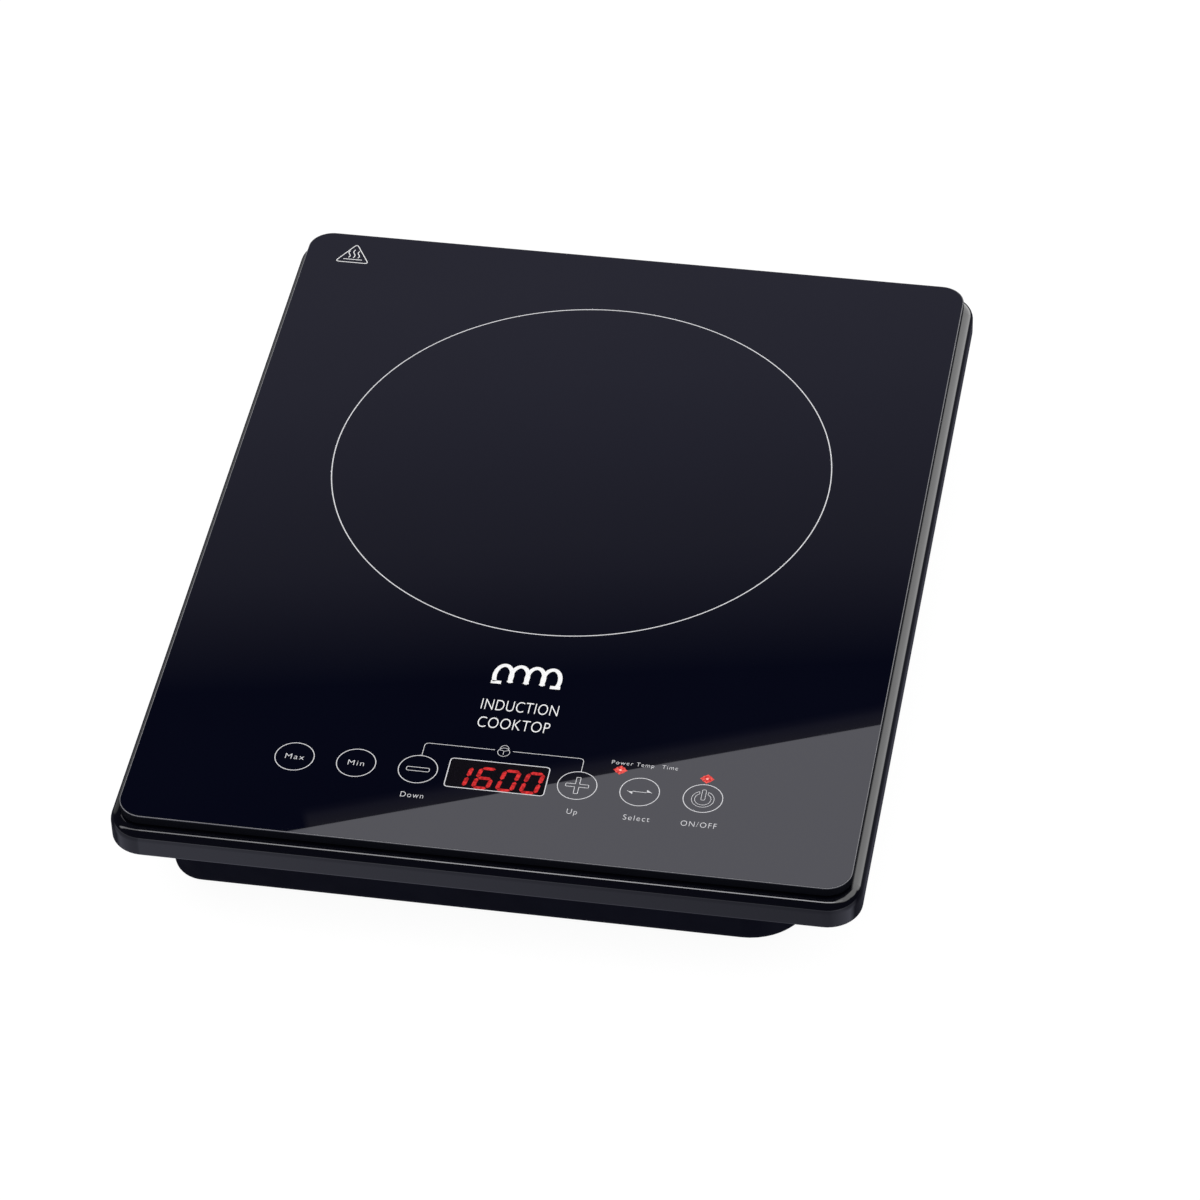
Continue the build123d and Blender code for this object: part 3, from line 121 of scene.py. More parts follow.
# ---- Shares of a material's colour ----
TINT_SPREAD = 1.25
UNLIT_SHARE = 0.06

# ---- Surroundings, in metres and degrees ----
DARK = (0.0, 0.0, 0.0)
WHITE = (1.0, 1.0, 1.0)
DAYLIGHT = 1.08
KEY_LIGHT_PLACE = (-0.9, -0.6, 2.2)
KEY_LIGHT_SIZE = 1.8
KEY_LIGHT_POWER = 6.0
FLOOR_HALF = 6.0
FLOOR_PAPER = (0.12, 0.12, 0.12)
FLOOR_GLOW = 0.93

# A band is the start and end of a value, and the colours at shares of the way between them.
# What gloss sees, by direction: dim sky, soft light from below, one strip light and round soft lights.
STUDIO_STRENGTH = 16.0
STUDIO_SKY = (0.0028, 0.0028, 0.0038)
BELOW_BY_HEIGHT = (-1.0, 0.0, [(0.0, (0.060, 0.061, 0.074)), (0.83, (0.060, 0.061, 0.074)),
                               (0.86, (0.130, 0.132, 0.150)), (0.93, (0.130, 0.132, 0.150)),
                               (0.955, DARK)])
BELOW_BY_SIDE = (-1.0, 1.0, [(0.0, (0.45, 0.45, 0.45)), (0.32, (0.60, 0.60, 0.60)),
                             (0.385, (0.95, 0.95, 0.95)), (0.43, (0.66, 0.66, 0.66)),
                             (0.455, (0.50, 0.50, 0.50)), (0.60, (0.50, 0.50, 0.50)),
                             (0.85, (0.90, 0.90, 0.90)), (1.0, (0.40, 0.40, 0.40))])
BELOW_BY_DEPTH = (-0.05, 0.2, [(0.0, WHITE), (1.0, (0.05, 0.05, 0.05))])
STRIP_BY_DEPTH = (-0.30, -0.13, [(0.0, DARK), (0.1, (0.90, 0.90, 0.93)),
                                 (0.9, (0.90, 0.90, 0.93)), (1.0, DARK)])
STRIP_BY_SIDE = (-0.26, 0.42, [(0.0, (0.35, 0.35, 0.35)), (0.15, WHITE), (0.70, WHITE), (1.0, DARK)])
STRIP_BY_HEIGHT = (0.30, 0.35, [(0.0, DARK), (1.0, WHITE)])
# Round soft lights: azimuth, height, inner angle, outer angle and level.
SIDE_GLOWS = [(62, 22, 24, 30, 0.27), (30, 46, 16, 22, 0.27), (5, 57, 15, 21, 0.27),
              (-17, 66, 7, 12, 0.40), (129, 8, 18, 24, 0.034)]

# The panel over the object is seen only in reflections. Its bright front part ends on the line that
# shows in the glass from EDGE_LEFT to EDGE_RIGHT.
EDGE_LEFT = Vector((-0.0716, -0.1786))
EDGE_RIGHT = Vector((0.1398, -0.0891))
PANEL_HEIGHT = 1.5
PANEL_SIDES = (-0.85, 0.50)
PANEL_DEPTH = (-0.45, 1.05)
PANEL_STRENGTH = 19.0
PANEL_SLOPE = 0.193
PANEL_EDGE = (-0.01, 0.0004, [(0.0, (0.083, 0.083, 0.091)), (0.96, (0.083, 0.083, 0.091)), (1.0, DARK)])
PANEL_STRIP = (0.0, 0.024, [(0.0, (0.0085, 0.0078, 0.0075)), (0.5, (0.0052, 0.0048, 0.0058)),
                            (0.75, (0.0016, 0.0014, 0.0018)), (1.0, DARK)])
PANEL_STRIP_END = (-0.228, -0.222, [(0.0, DARK), (1.0, WHITE)])
PANEL_FAR = (0.12, 0.62, [(0.0, DARK), (0.08, (0.0026, 0.0025, 0.0030)), (0.26, (0.0086, 0.0083, 0.0104)),
                          (0.33, (0.0101, 0.0098, 0.0121)), (0.56, (0.0130, 0.0127, 0.0164)),
                          (0.76, (0.0155, 0.0152, 0.0196)), (1.0, (0.0172, 0.0168, 0.0214))])


# ---- Small mesh tools ----

def add_piece(name, mesh, material):
    """Put a mesh in the scene as a piece of the body."""
    piece = bpy.data.objects.new(name, mesh)
    bpy.context.scene.collection.objects.link(piece)
    mesh.materials.clear()
    mesh.materials.append(material)
    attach(piece, BODY)


def add_mesh(name, draw, material):
    """New piece on the body, from a function that fills a bmesh in millimetres."""
    mesh = bpy.data.meshes.new(name)
    shape = bmesh.new()
    draw(shape)
    bmesh.ops.recalc_face_normals(shape, faces=shape.faces)
    bmesh.ops.scale(shape, vec=(MM, MM, MM), verts=shape.verts)
    shape.to_mesh(mesh)
    shape.free()
    add_piece(name, mesh, material)


def layer(rise=PRINT_RISE):
    """Lowest and highest point of a printed layer."""
    return GLASS_TOP / MM - PRINT_SINK, GLASS_TOP / MM + rise


def add_plate(shape, outline, low, high):
    """Thin solid with the given outline."""
    lower = [shape.verts.new((x, y, low)) for x, y in outline]
    upper = [shape.verts.new((x, y, high)) for x, y in outline]
    shape.faces.new(list(reversed(lower)))
    shape.faces.new(upper)
    for i in range(len(outline)):
        j = (i + 1) % len(outline)
        shape.faces.new((lower[i], lower[j], upper[j], upper[i]))


def add_line(shape, points, width, closed=False, heights=None):
    """Thin solid line of constant width along the points, mitred at its corners."""
    sharpest_mitre = 0.35
    low, high = heights or layer()
    count = len(points)
    rows = []
    for i, (x, y) in enumerate(points):
        before = Vector(points[i - 1]) if closed or i else None
        after = Vector(points[(i + 1) % count]) if closed or i < count - 1 else None
        here = Vector((x, y))
        incoming = (here - before).normalized() if before is not None else None
        outgoing = (after - here).normalized() if after is not None else None
        along = (incoming or outgoing) + (outgoing or incoming)
        along.normalize()
        side = Vector((-along.y, along.x))
        straight = outgoing or incoming
        reach = width / 2 / max(sharpest_mitre, abs(along.dot(straight)))
        left = here + side * reach
        right = here - side * reach
        rows.append([shape.verts.new((*left, low)), shape.verts.new((*left, high)),
                     shape.verts.new((*right, high)), shape.verts.new((*right, low))])
    spans = count if closed else count - 1
    for i in range(spans):
        first, second = rows[i], rows[(i + 1) % count]
        for k in range(4):
            m = (k + 1) % 4
            shape.faces.new((first[k], first[m], second[m], second[k]))
    if not closed:
        shape.faces.new(rows[0])
        shape.faces.new(list(reversed(rows[-1])))


def arc(centre, radius, start, end, steps=24):
    """Points along an arc, its angles in degrees."""
    angles = [math.radians(start + (end - start) * i / steps) for i in range(steps + 1)]
    return [(centre[0] + radius * math.cos(a), centre[1] + radius * math.sin(a)) for a in angles]


def circle(centre, radius, steps=64):
    """Points round a full circle, with no point repeated."""
    return arc(centre, radius, 0, 360, steps)[:-1]


def rounded_polygon(corners, radius, steps=6):
    """Closed outline whose corners are rounded with quadratic curves."""
    outline = []
    for i, corner in enumerate(corners):
        here = Vector(corner)
        back = (Vector(corners[i - 1]) - here).normalized() * radius
        ahead = (Vector(corners[(i + 1) % len(corners)]) - here).normalized() * radius
        for step in range(steps + 1):
            t = step / steps
            point = here + back * (1 - t) ** 2 + ahead * t ** 2
            outline.append((point.x, point.y))
    return outline


def rounded_box(centre, size, radius):
    """Outline of a rectangle with rounded corners."""
    x, y = centre
    w, d = size[0] / 2, size[1] / 2
    return rounded_polygon([(x - w, y - d), (x + w, y - d), (x + w, y + d), (x - w, y + d)], radius)


def add_text(name, words, centre, width, cap, material, weight=0.0, spacing=1.0):
    """Flat lettering with a given width and capital height, as a mesh piece."""
    capital = 0.69  # height of the font's capitals at size 1
    weld = 1e-7
    letters = bpy.data.curves.new(name, "FONT")
    letters.body = words
    letters.size = 1.0
    letters.offset = weight
    letters.space_character = spacing
    letters.extrude = 0.5
    letters.resolution_u = 6
    source = bpy.data.objects.new(name + "_source", letters)
    bpy.context.scene.collection.objects.link(source)
    bpy.context.view_layer.update()
    ready = source.evaluated_get(bpy.context.evaluated_depsgraph_get())
    mesh = bpy.data.meshes.new_from_object(ready)
    bpy.data.objects.remove(source)
    xs = [v.co.x for v in mesh.vertices]
    low, high = layer()
    wide = width / (max(xs) - min(xs))
    tall = cap / capital
    for v in mesh.vertices:
        x = centre[0] + (v.co.x - (max(xs) + min(xs)) / 2) * wide
        y = centre[1] + (v.co.y - capital / 2) * tall
        z = low + (v.co.z + letters.extrude) * (high - low)
        v.co = Vector((x, y, z)) * MM
    shape = bmesh.new()
    shape.from_mesh(mesh)
    bmesh.ops.remove_doubles(shape, verts=shape.verts, dist=weld)
    shape.to_mesh(mesh)
    shape.free()
    add_piece(name, mesh, material)


# ---- Materials ----

def start_material(name):
    """New node material: its tree, its surface shader and metre coordinates."""
    material = bpy.data.materials.new(name)
    material.use_nodes = True
    tree = material.node_tree
    shader = tree.nodes["Principled BSDF"]
    place = tree.nodes.new("ShaderNodeTexCoord")
    return material, tree, shader, place.outputs["Object"]


def noise(tree, place, size, detail=3.0, stretch=(1.0, 1.0, 1.0)):
    """Noise whose features are about `size` metres across."""
    mapping = tree.nodes.new("ShaderNodeMapping")
    mapping.inputs["Scale"].default_value = stretch
    texture = tree.nodes.new("ShaderNodeTexNoise")
    texture.inputs["Scale"].default_value = 1.0 / size
    texture.inputs["Detail"].default_value = detail
    tree.links.new(place, mapping.inputs["Vector"])
    tree.links.new(mapping.outputs["Vector"], texture.inputs["Vector"])
    return texture.outputs["Fac"]


def spread(tree, factor, low, high, tight=0.3):
    """Map a noise factor to the span from low to high."""
    node = tree.nodes.new("ShaderNodeMapRange")
    node.inputs["From Min"].default_value = tight
    node.inputs["From Max"].default_value = 1.0 - tight
    node.inputs["To Min"].default_value = low
    node.inputs["To Max"].default_value = high
    tree.links.new(factor, node.inputs["Value"])
    return node.outputs["Result"]


def blend_colours(tree, factor, first, second):
    """Mix two colours by a factor."""
    node = tree.nodes.new("ShaderNodeMix")
    node.data_type = "RGBA"
    node.inputs["A"].default_value = (*first, 1.0)
    node.inputs["B"].default_value = (*second, 1.0)
    tree.links.new(factor, node.inputs["Factor"])
    return node.outputs["Result"]


def bump(tree, shader, factor, strength, depth):
    """Small relief from a factor."""
    node = tree.nodes.new("ShaderNodeBump")
    node.inputs["Strength"].default_value = strength
    node.inputs["Distance"].default_value = depth
    tree.links.new(factor, node.inputs["Height"])
    tree.links.new(node.outputs["Normal"], shader.inputs["Normal"])


def shade(colour, share):
    """The colour made lighter or darker."""
    return tuple(min(1.0, channel * share) for channel in colour)


def moulded(name, colour, rough=(0.35, 0.5), grain=0.0009, relief=0.00004, specular=0.5):
    """Moulded plastic or rubber: fine grain, uneven gloss and slightly uneven colour."""
    material, tree, shader, place = start_material(name)
    cloud = noise(tree, place, size=0.03)
    fine = noise(tree, place, size=grain, detail=4.0)
    patches = noise(tree, place, size=0.008)
    tint = blend_colours(tree, cloud, shade(colour, 1 / TINT_SPREAD), shade(colour, TINT_SPREAD))
    tree.links.new(tint, shader.inputs["Base Color"])
    tree.links.new(spread(tree, patches, *rough), shader.inputs["Roughness"])
    shader.inputs["Specular IOR Level"].default_value = specular
    bump(tree, shader, fine, strength=0.35, depth=relief)
    return material


def metal(name, colour, rough=(0.25, 0.4), stretch=(1.0, 12.0, 12.0), grain=0.0006):
    """Drawn or rolled metal with fine lines and duller patches."""
    material, tree, shader, place = start_material(name)
    lines = noise(tree, place, size=grain, stretch=stretch)
    patches = noise(tree, place, size=0.01)
    duller, brighter = shade(colour, 0.85), shade(colour, 1.08)
    tint = blend_colours(tree, patches, duller, brighter)
    tree.links.new(tint, shader.inputs["Base Color"])
    tree.links.new(spread(tree, lines, *rough), shader.inputs["Roughness"])
    shader.inputs["Metallic"].default_value = 1.0
    bump(tree, shader, lines, strength=0.2, depth=0.00002)
    return material


def black_glass():
    """Toughened glass with black ink behind it and a few wiping marks on it."""
    material, tree, shader, place = start_material("black_glass")
    cloud = noise(tree, place, size=0.09, detail=2.0)
    wipes = noise(tree, place, size=0.012, detail=5.0, stretch=(1.0, 0.25, 1.0))
    waviness = noise(tree, place, size=0.06, detail=1.0)
    ink = blend_colours(tree, cloud, (0.0015, 0.0018, 0.0060), (0.0022, 0.0027, 0.0080))
    tree.links.new(ink, shader.inputs["Base Color"])
    tree.links.new(spread(tree, wipes, low=0.003, high=0.009), shader.inputs["Roughness"])
    shader.inputs["IOR"].default_value = 1.5
    bump(tree, shader, waviness, strength=0.02, depth=0.00001)
    return material


def frame_gloss():
    """High-gloss black moulding with faint flow marks."""
    material, tree, shader, place = start_material("frame_gloss")
    cloud = noise(tree, place, size=0.05)
    flow = noise(tree, place, size=0.004, detail=4.0)
    orange_peel = noise(tree, place, size=0.0012)
    tint = blend_colours(tree, cloud, (0.0012, 0.0013, 0.0030), (0.0022, 0.0023, 0.0048))
    tree.links.new(tint, shader.inputs["Base Color"])
    tree.links.new(spread(tree, flow, low=0.045, high=0.08), shader.inputs["Roughness"])
    shader.inputs["Specular IOR Level"].default_value = 0.32
    bump(tree, shader, orange_peel, strength=0.06, depth=0.00002)
    return material


def circuit_board():
    """Green solder mask with a raised pattern of tracks under it."""
    material, tree, shader, place = start_material("circuit_board")
    tracks = tree.nodes.new("ShaderNodeTexBrick")
    tracks.inputs["Scale"].default_value = 90.0
    tracks.inputs["Mortar Size"].default_value = 0.04
    tracks.inputs["Color1"].default_value = (0.012, 0.11, 0.05, 1.0)
    tracks.inputs["Color2"].default_value = (0.016, 0.14, 0.06, 1.0)
    tracks.inputs["Mortar"].default_value = (0.03, 0.22, 0.09, 1.0)
    patches = noise(tree, place, size=0.003)
    tree.links.new(place, tracks.inputs["Vector"])
    tree.links.new(tracks.outputs["Color"], shader.inputs["Base Color"])
    tree.links.new(spread(tree, patches, low=0.25, high=0.4), shader.inputs["Roughness"])
    bump(tree, shader, tracks.outputs["Fac"], strength=0.3, depth=0.00003)
    return material


def print_ink(name, colour):
    """Fired ceramic print: slightly uneven cover and a dry surface."""
    material, tree, shader, place = start_material(name)
    cover = noise(tree, place, size=0.0015)
    patches = noise(tree, place, size=0.0008)
    grain = noise(tree, place, size=0.0004)
    tint = blend_colours(tree, cover, shade(colour, 0.86), colour)
    tree.links.new(tint, shader.inputs["Base Color"])
    tree.links.new(spread(tree, patches, low=0.35, high=0.55), shader.inputs["Roughness"])
    bump(tree, shader, grain, strength=0.1, depth=0.00001)
    return material


def glow(name, dark, bright, strength, size):
    """Lit plastic whose light gathers in spots, on a much darker body."""
    material, tree, shader, place = start_material(name)
    spots = spread(tree, noise(tree, place, size, detail=1.0), low=0.0, high=1.0, tight=0.35)
    body = blend_colours(tree, spots, shade(dark, UNLIT_SHARE), shade(bright, UNLIT_SHARE))
    light = blend_colours(tree, spots, dark, bright)
    tree.links.new(body, shader.inputs["Base Color"])
    tree.links.new(light, shader.inputs["Emission Color"])
    shader.inputs["Emission Strength"].default_value = strength
    shader.inputs["Specular IOR Level"].default_value = 0.15
    tree.links.new(spread(tree, spots, low=0.35, high=0.5), shader.inputs["Roughness"])
    return material


def dull_edge_and_painted_highlight(name, colour, specular):
    """Ground, dull glass, in the colour given; the pale arris skin made with it is a painted highlight.
    """
    material, tree, shader, place = start_material(name)
    cloud = noise(tree, place, size=0.002)
    patches = noise(tree, place, size=0.0007)
    grain = noise(tree, place, size=0.0004)
    tint = blend_colours(tree, cloud, colour, shade(colour, 1.5))
    tree.links.new(tint, shader.inputs["Base Color"])
    tree.links.new(spread(tree, patches, low=0.55, high=0.7), shader.inputs["Roughness"])
    shader.inputs["Specular IOR Level"].default_value = specular
    bump(tree, shader, grain, strength=0.1, depth=0.00001)
    return material


def window_film():
    """Smoked, slightly matt patch of glass over the display."""
    material, tree, shader, place = start_material("window_film")
    cloud = noise(tree, place, size=0.004)
    patches = noise(tree, place, size=0.001)
    tint = blend_colours(tree, cloud, (0.0008, 0.0006, 0.0020), (0.0017, 0.0008, 0.0027))
    tree.links.new(tint, shader.inputs["Base Color"])
    tree.links.new(spread(tree, patches, low=0.5, high=0.65), shader.inputs["Roughness"])
    shader.inputs["Specular IOR Level"].default_value = 0.03
    return material


SLOT_MATERIALS = {
    "glass": black_glass(),
    "frame": frame_gloss(),
    "case": moulded("case_plastic", (0.0010, 0.0012, 0.0045), (0.38, 0.5), grain=0.0007,
                    relief=0.00005, specular=0.02),
    "rubber": moulded("foot_rubber", (0.018, 0.018, 0.018), (0.7, 0.85), grain=0.0005,
                      relief=0.00006, specular=0.25),
    "silicone": moulded("black_silicone", (0.012, 0.012, 0.013), (0.45, 0.6)),
    "sensor_silicone": moulded("white_silicone", (0.62, 0.61, 0.57), (0.5, 0.65)),
    "screw_steel": metal("plated_steel", (0.60, 0.60, 0.58), (0.22, 0.4), (1.0, 1.0, 1.0)),
    "black_plastic": moulded("nylon_black", (0.012, 0.012, 0.013), (0.4, 0.6)),
    "former_plastic": moulded("filled_nylon", (0.035, 0.034, 0.033), (0.5, 0.7), grain=0.0005),
    "copper": metal("enamelled_copper", (0.62, 0.26, 0.11), (0.22, 0.38), (1.0, 1.0, 5.0), grain=0.0004),
    "ferrite": moulded("ferrite", (0.03, 0.03, 0.032), (0.45, 0.7), grain=0.0004, relief=0.00005),
    "mica": moulded("mica", (0.55, 0.48, 0.34), (0.35, 0.6), grain=0.0015),
    "aluminium": metal("extruded_aluminium", (0.74, 0.75, 0.77), (0.25, 0.42), (10.0, 1.0, 10.0)),
    "spring_steel": metal("spring_steel", (0.66, 0.66, 0.67), (0.15, 0.28)),
    "fan_plastic": moulded("fan_plastic", (0.015, 0.015, 0.017), (0.35, 0.5)),
    "brass": metal("brass", (0.72, 0.53, 0.2), (0.2, 0.36)),
    "board_green": circuit_board(),
    "device_black": moulded("package_epoxy", (0.013, 0.013, 0.013), (0.5, 0.7), grain=0.0004),
    "cap_red": moulded("red_case", (0.45, 0.035, 0.02), (0.2, 0.32)),
    "cap_yellow": moulded("yellow_case", (0.72, 0.42, 0.02), (0.22, 0.35)),
    "can_sleeve": moulded("can_sleeve", (0.008, 0.014, 0.07), (0.2, 0.3)),
    "core_yellow": moulded("coated_core", (0.6, 0.5, 0.05), (0.4, 0.6), grain=0.0005),
    "varistor_blue": moulded("blue_epoxy", (0.015, 0.06, 0.36), (0.18, 0.3)),
    "fuse_glass": moulded("fuse_glass", (0.55, 0.6, 0.62), (0.08, 0.16)),
    "resistor_blue": moulded("resistor_lacquer", (0.18, 0.34, 0.5), (0.3, 0.45)),
    "white_plastic": moulded("nylon_white", (0.72, 0.71, 0.66), (0.35, 0.55)),
    "display_black": moulded("display_housing", (0.02, 0.008, 0.008), (0.3, 0.45)),
    "lamp_red": glow("lamp_red", (0.45, 0.01, 0.008), (0.8, 0.04, 0.02), strength=0.4, size=0.002),
    "ribbon_grey": moulded("flat_cable", (0.3, 0.3, 0.32), (0.45, 0.6)),
    "wire_brown": moulded("brown_insulation", (0.1, 0.035, 0.015), (0.35, 0.5)),
    "sleeve_white": moulded("glass_sleeve", (0.6, 0.58, 0.52), (0.6, 0.8), grain=0.0006, relief=0.00012),
    "steel_core": metal("laminated_steel", (0.42, 0.42, 0.43), (0.35, 0.5), (1.0, 1.0, 14.0)),
    "pad_grey": moulded("thermal_pad", (0.32, 0.34, 0.37), (0.6, 0.8)),
}
for entry in frame["record"]["subparts"]:
    node = frame["nodes"][entry["node"]]
    node.data.materials.clear()
    node.data.materials.append(SLOT_MATERIALS[entry["material_slot"]])

INK = print_ink("print_grey", (0.66, 0.66, 0.68))
INK_WHITE = print_ink("print_white", (0.88, 0.88, 0.88))
DIGIT_LIGHT = glow("digit_light", (0.34, 0.002, 0.004), (0.72, 0.022, 0.023), strength=1.0, size=0.0013)
LAMP_LIGHT = glow("lamp_light", (0.48, 0.012, 0.014), (0.92, 0.11, 0.09), strength=1.0, size=0.0007)
LAMP_CENTRE = glow("lamp_centre", (0.95, 0.30, 0.26), (1.0, 0.62, 0.56), strength=1.0, size=0.0005)


# ---- Pieces on the glass ----

def draw_ring(shape):
    """Line round the cooking zone."""
    add_line(shape, circle(RING_CENTRE, RING_RADIUS, RING_STEPS), RING_LINE, closed=True)


def draw_key_rings(shape):
    """Circle round each touch key."""
    for x in (KEY_MAX, KEY_MIN, KEY_DOWN, KEY_UP, KEY_SELECT, KEY_POWER):
        add_line(shape, circle((x, KEY_ROW), KEY_RADIUS), KEY_LINE, closed=True)


def draw_window_edge(shape):
    """Line round the display window."""
    add_line(shape, rounded_box(WINDOW_CENTRE, WINDOW_SIZE, WINDOW_CORNER), WINDOW_LINE, closed=True)


def draw_minus(shape):
    """Outlined minus on the key that lowers the setting."""
    size, corner = (8.9, 2.0), 0.8
    add_line(shape, rounded_box((KEY_DOWN, KEY_ROW), size, corner), ICON_LINE, closed=True)


def draw_plus(shape):
    """Outlined plus on the key that raises the setting."""
    arm, half, corner = 4.4, 0.8, 0.25
    corners = [(half, half), (half, arm), (-half, arm), (-half, half), (-arm, half), (-arm, -half),
               (-half, -half), (-half, -arm), (half, -arm), (half, -half), (arm, -half), (arm, half)]
    outline = rounded_polygon([(KEY_UP + x, KEY_ROW + y) for x, y in corners], corner, 3)
    add_line(shape, outline, ICON_LINE, closed=True)


def draw_select(shape):
    """Pair of opposed half arrows on the select key: a barb below on the left, above on the right."""
    half, barb, rise, tuck, row = 4.9, 2.2, 1.5, 0.5, KEY_ROW
    line_half = ICON_LINE / 2
    for side in (-1, 1):
        tip = (KEY_SELECT + side * half, row - side * line_half)
        root = (KEY_SELECT + side * (half - barb), row - side * line_half)
        heel = (KEY_SELECT + side * (half - barb), row + side * rise)
        add_plate(shape, [tip, heel, root], *layer())
    add_line(shape, [(KEY_SELECT - half + tuck, row), (KEY_SELECT + half - tuck, row)], ICON_LINE)


def draw_power(shape):
    """Outlined power symbol: a broken ring and an upright bar."""
    line = ICON_LINE * 0.8
    outer, inner, drop = 4.3, 3.1, 0.4
    outer_gap, inner_gap = 24, 30
    bar_lift, bar_size, bar_corner = 1.9, (1.5, 5.6), 0.6
    centre = (KEY_POWER, KEY_ROW - drop)
    path = arc(centre, outer, 90 + outer_gap, 450 - outer_gap, 40)
    path += arc(centre, inner, 450 - inner_gap, 90 + inner_gap, 40)
    add_line(shape, path, line, closed=True)
    bar = rounded_box((KEY_POWER, KEY_ROW + bar_lift), bar_size, bar_corner)
    add_line(shape, bar, line, closed=True)


def draw_brackets(shape):
    """Lines that tie the lower and raise keys to the lock symbol."""
    for foot_x, end_x in BRACKETS:
        toward = 1 if foot_x < 0 else -1
        corner = (foot_x + toward * BRACKET_CORNER, BRACKET_ROW - BRACKET_CORNER)
        start, end = (180, 90) if toward > 0 else (0, 90)
        path = [(foot_x, BRACKET_FOOT)] + arc(corner, BRACKET_CORNER, start, end, 8)
        add_line(shape, path + [(end_x, BRACKET_ROW)], BRACKET_LINE)


def draw_lock(shape):
    """Small padlock: round body, shackle and a keyhole like a letter Y."""
    x, y = LOCK_CENTRE
    line, fork_line = BRACKET_LINE * 0.9, BRACKET_LINE * 0.8
    body_drop, body_radius = 0.6, 2.3
    shackle_lift, shackle_radius, shackle_narrow = 1.0, 2.1, 0.8
    fork_half, fork_top, fork_low = 1.5, 0.5, 0.1
    stem_top, stem_low = 0.2, 2.0
    add_line(shape, circle((x, y - body_drop), body_radius, 32), line, closed=True)
    bow = arc((x, y + shackle_lift), shackle_radius, -20, 200, 20)
    add_line(shape, [(x + (px - x) * shackle_narrow, py) for px, py in bow], line)
    fork = [(x - fork_half, y + fork_top), (x, y - fork_low), (x + fork_half, y + fork_top)]
    add_line(shape, fork, fork_line)
    add_line(shape, [(x, y - stem_top), (x, y - stem_low)], line)


def draw_warning(shape):
    """Hot-surface sign: rounded triangle, three heat waves and a bar."""
    corner, wave_steps, sway, wave_foot, bar_half, bar_lift = 1.8, 12, 0.5, 3.1, 4.0, 2.0
    x, top = WARNING_APEX
    base = top - WARNING_HEIGHT
    triangle = [(x - WARNING_HALF_BASE, base), (x + WARNING_HALF_BASE, base), (x, top)]
    add_line(shape, rounded_polygon(triangle, corner), WARNING_LINE, closed=True)
    for dx, height in ((-2.0, 4.6), (0.0, 5.4), (2.0, 4.6)):
        wave = []
        for step in range(wave_steps + 1):
            rise = step / wave_steps
            wave.append((x + dx + sway * math.sin(rise * 2 * math.pi), base + wave_foot + rise * height))
        add_line(shape, wave, WARNING_LINE)
    add_line(shape, [(x - bar_half, base + bar_lift), (x + bar_half, base + bar_lift)], WARNING_LINE)


def draw_mark(shape):
    """Plain induction symbol: four loops of a coil on a line, between two end bars."""
    x, y = MARK_CENTRE
    loop_r, loops, line = 3.9, 4, 1.7
    pitch, narrow, stretch = loop_r * 1.62, 0.86, 1.55
    bar_near, bar_far, bar_drop = 9.6, 13.6, 3.8
    stagger = 0.003  # keeps the tops of crossing loops apart
    low, high = layer()
    for i in range(loops):
        middle = x + (i - (loops - 1) / 2) * pitch
        ring = [(middle + (px - middle) * narrow, y + (py - y) * stretch)
                for px, py in arc((middle, y), loop_r, -35, 215, 24)]
        add_line(shape, ring, line, heights=(low, high + stagger * i))
    for side in (-1, 1):
        add_line(shape, [(x + side * bar_near, y - bar_drop), (x + side * bar_far, y - bar_drop)], line)


def draw_digits(shape):
    """Lit segments of the number on the display."""
    cx, cy = WINDOW_CENTRE[0] + DIGIT_SHIFT[0], WINDOW_CENTRE[1] + DIGIT_SHIFT[1]
    half_w, half_h = DIGIT_WIDTH / 2, DIGIT_HEIGHT / 2
    spans = {"a": ((-half_w, half_h), (half_w, half_h)), "g": ((-half_w, 0), (half_w, 0)),
             "d": ((-half_w, -half_h), (half_w, -half_h)), "f": ((-half_w, 0), (-half_w, half_h)),
             "b": ((half_w, 0), (half_w, half_h)), "e": ((-half_w, -half_h), (-half_w, 0)),
             "c": ((half_w, -half_h), (half_w, 0))}
    low, high = layer(PRINT_RISE + FILM_RISE)
    inset = 1.0 - SEGMENT_WIDTH / DIGIT_HEIGHT
    for place, digit in enumerate(DISPLAY_NUMBER):
        left = cx + (place - (len(DISPLAY_NUMBER) - 1) / 2) * DIGIT_PITCH
        for name in SEGMENTS[digit]:
            start, end = (Vector(p) for p in spans[name])
            along = (end - start).normalized()
            side = Vector((-along.y, along.x)) * SEGMENT_WIDTH / 2
            first = start + along * SEGMENT_GAP
            last = end - along * SEGMENT_GAP
            nose = along * SEGMENT_WIDTH / 2
            corners = [first, first + nose - side, last - nose - side, last, last - nose + side,
                       first + nose + side]
            outline = []
            for corner in corners:
                y = corner.y * inset
                outline.append((left + corner.x * DIGIT_NARROW + y * DIGIT_SLANT, cy + y))
            add_plate(shape, outline, low, high)


def draw_lamps(shape):
    """Lit indicator lamps, each a soft four-pointed star of light."""
    reaches, widen = (2.5, 1.9, 2.0, 1.9), 1.1
    points = 4 * len(reaches)
    low, high = layer()
    for x in LIT_LAMPS:
        star = []
        for step in range(points):
            reach = reaches[step % len(reaches)]
            angle = math.radians(step * 360 / points)
            star.append((x + reach * widen * math.cos(angle), LAMP_ROW + reach * math.sin(angle)))
        add_plate(shape, star, low, high)


def draw_lamp_centres(shape):
    """Bright middle of each lit lamp."""
    low, high = layer(PRINT_RISE + FILM_RISE)
    for x in LIT_LAMPS:
        add_plate(shape, circle((x, LAMP_ROW), LAMP_CORE, 24), low, high)


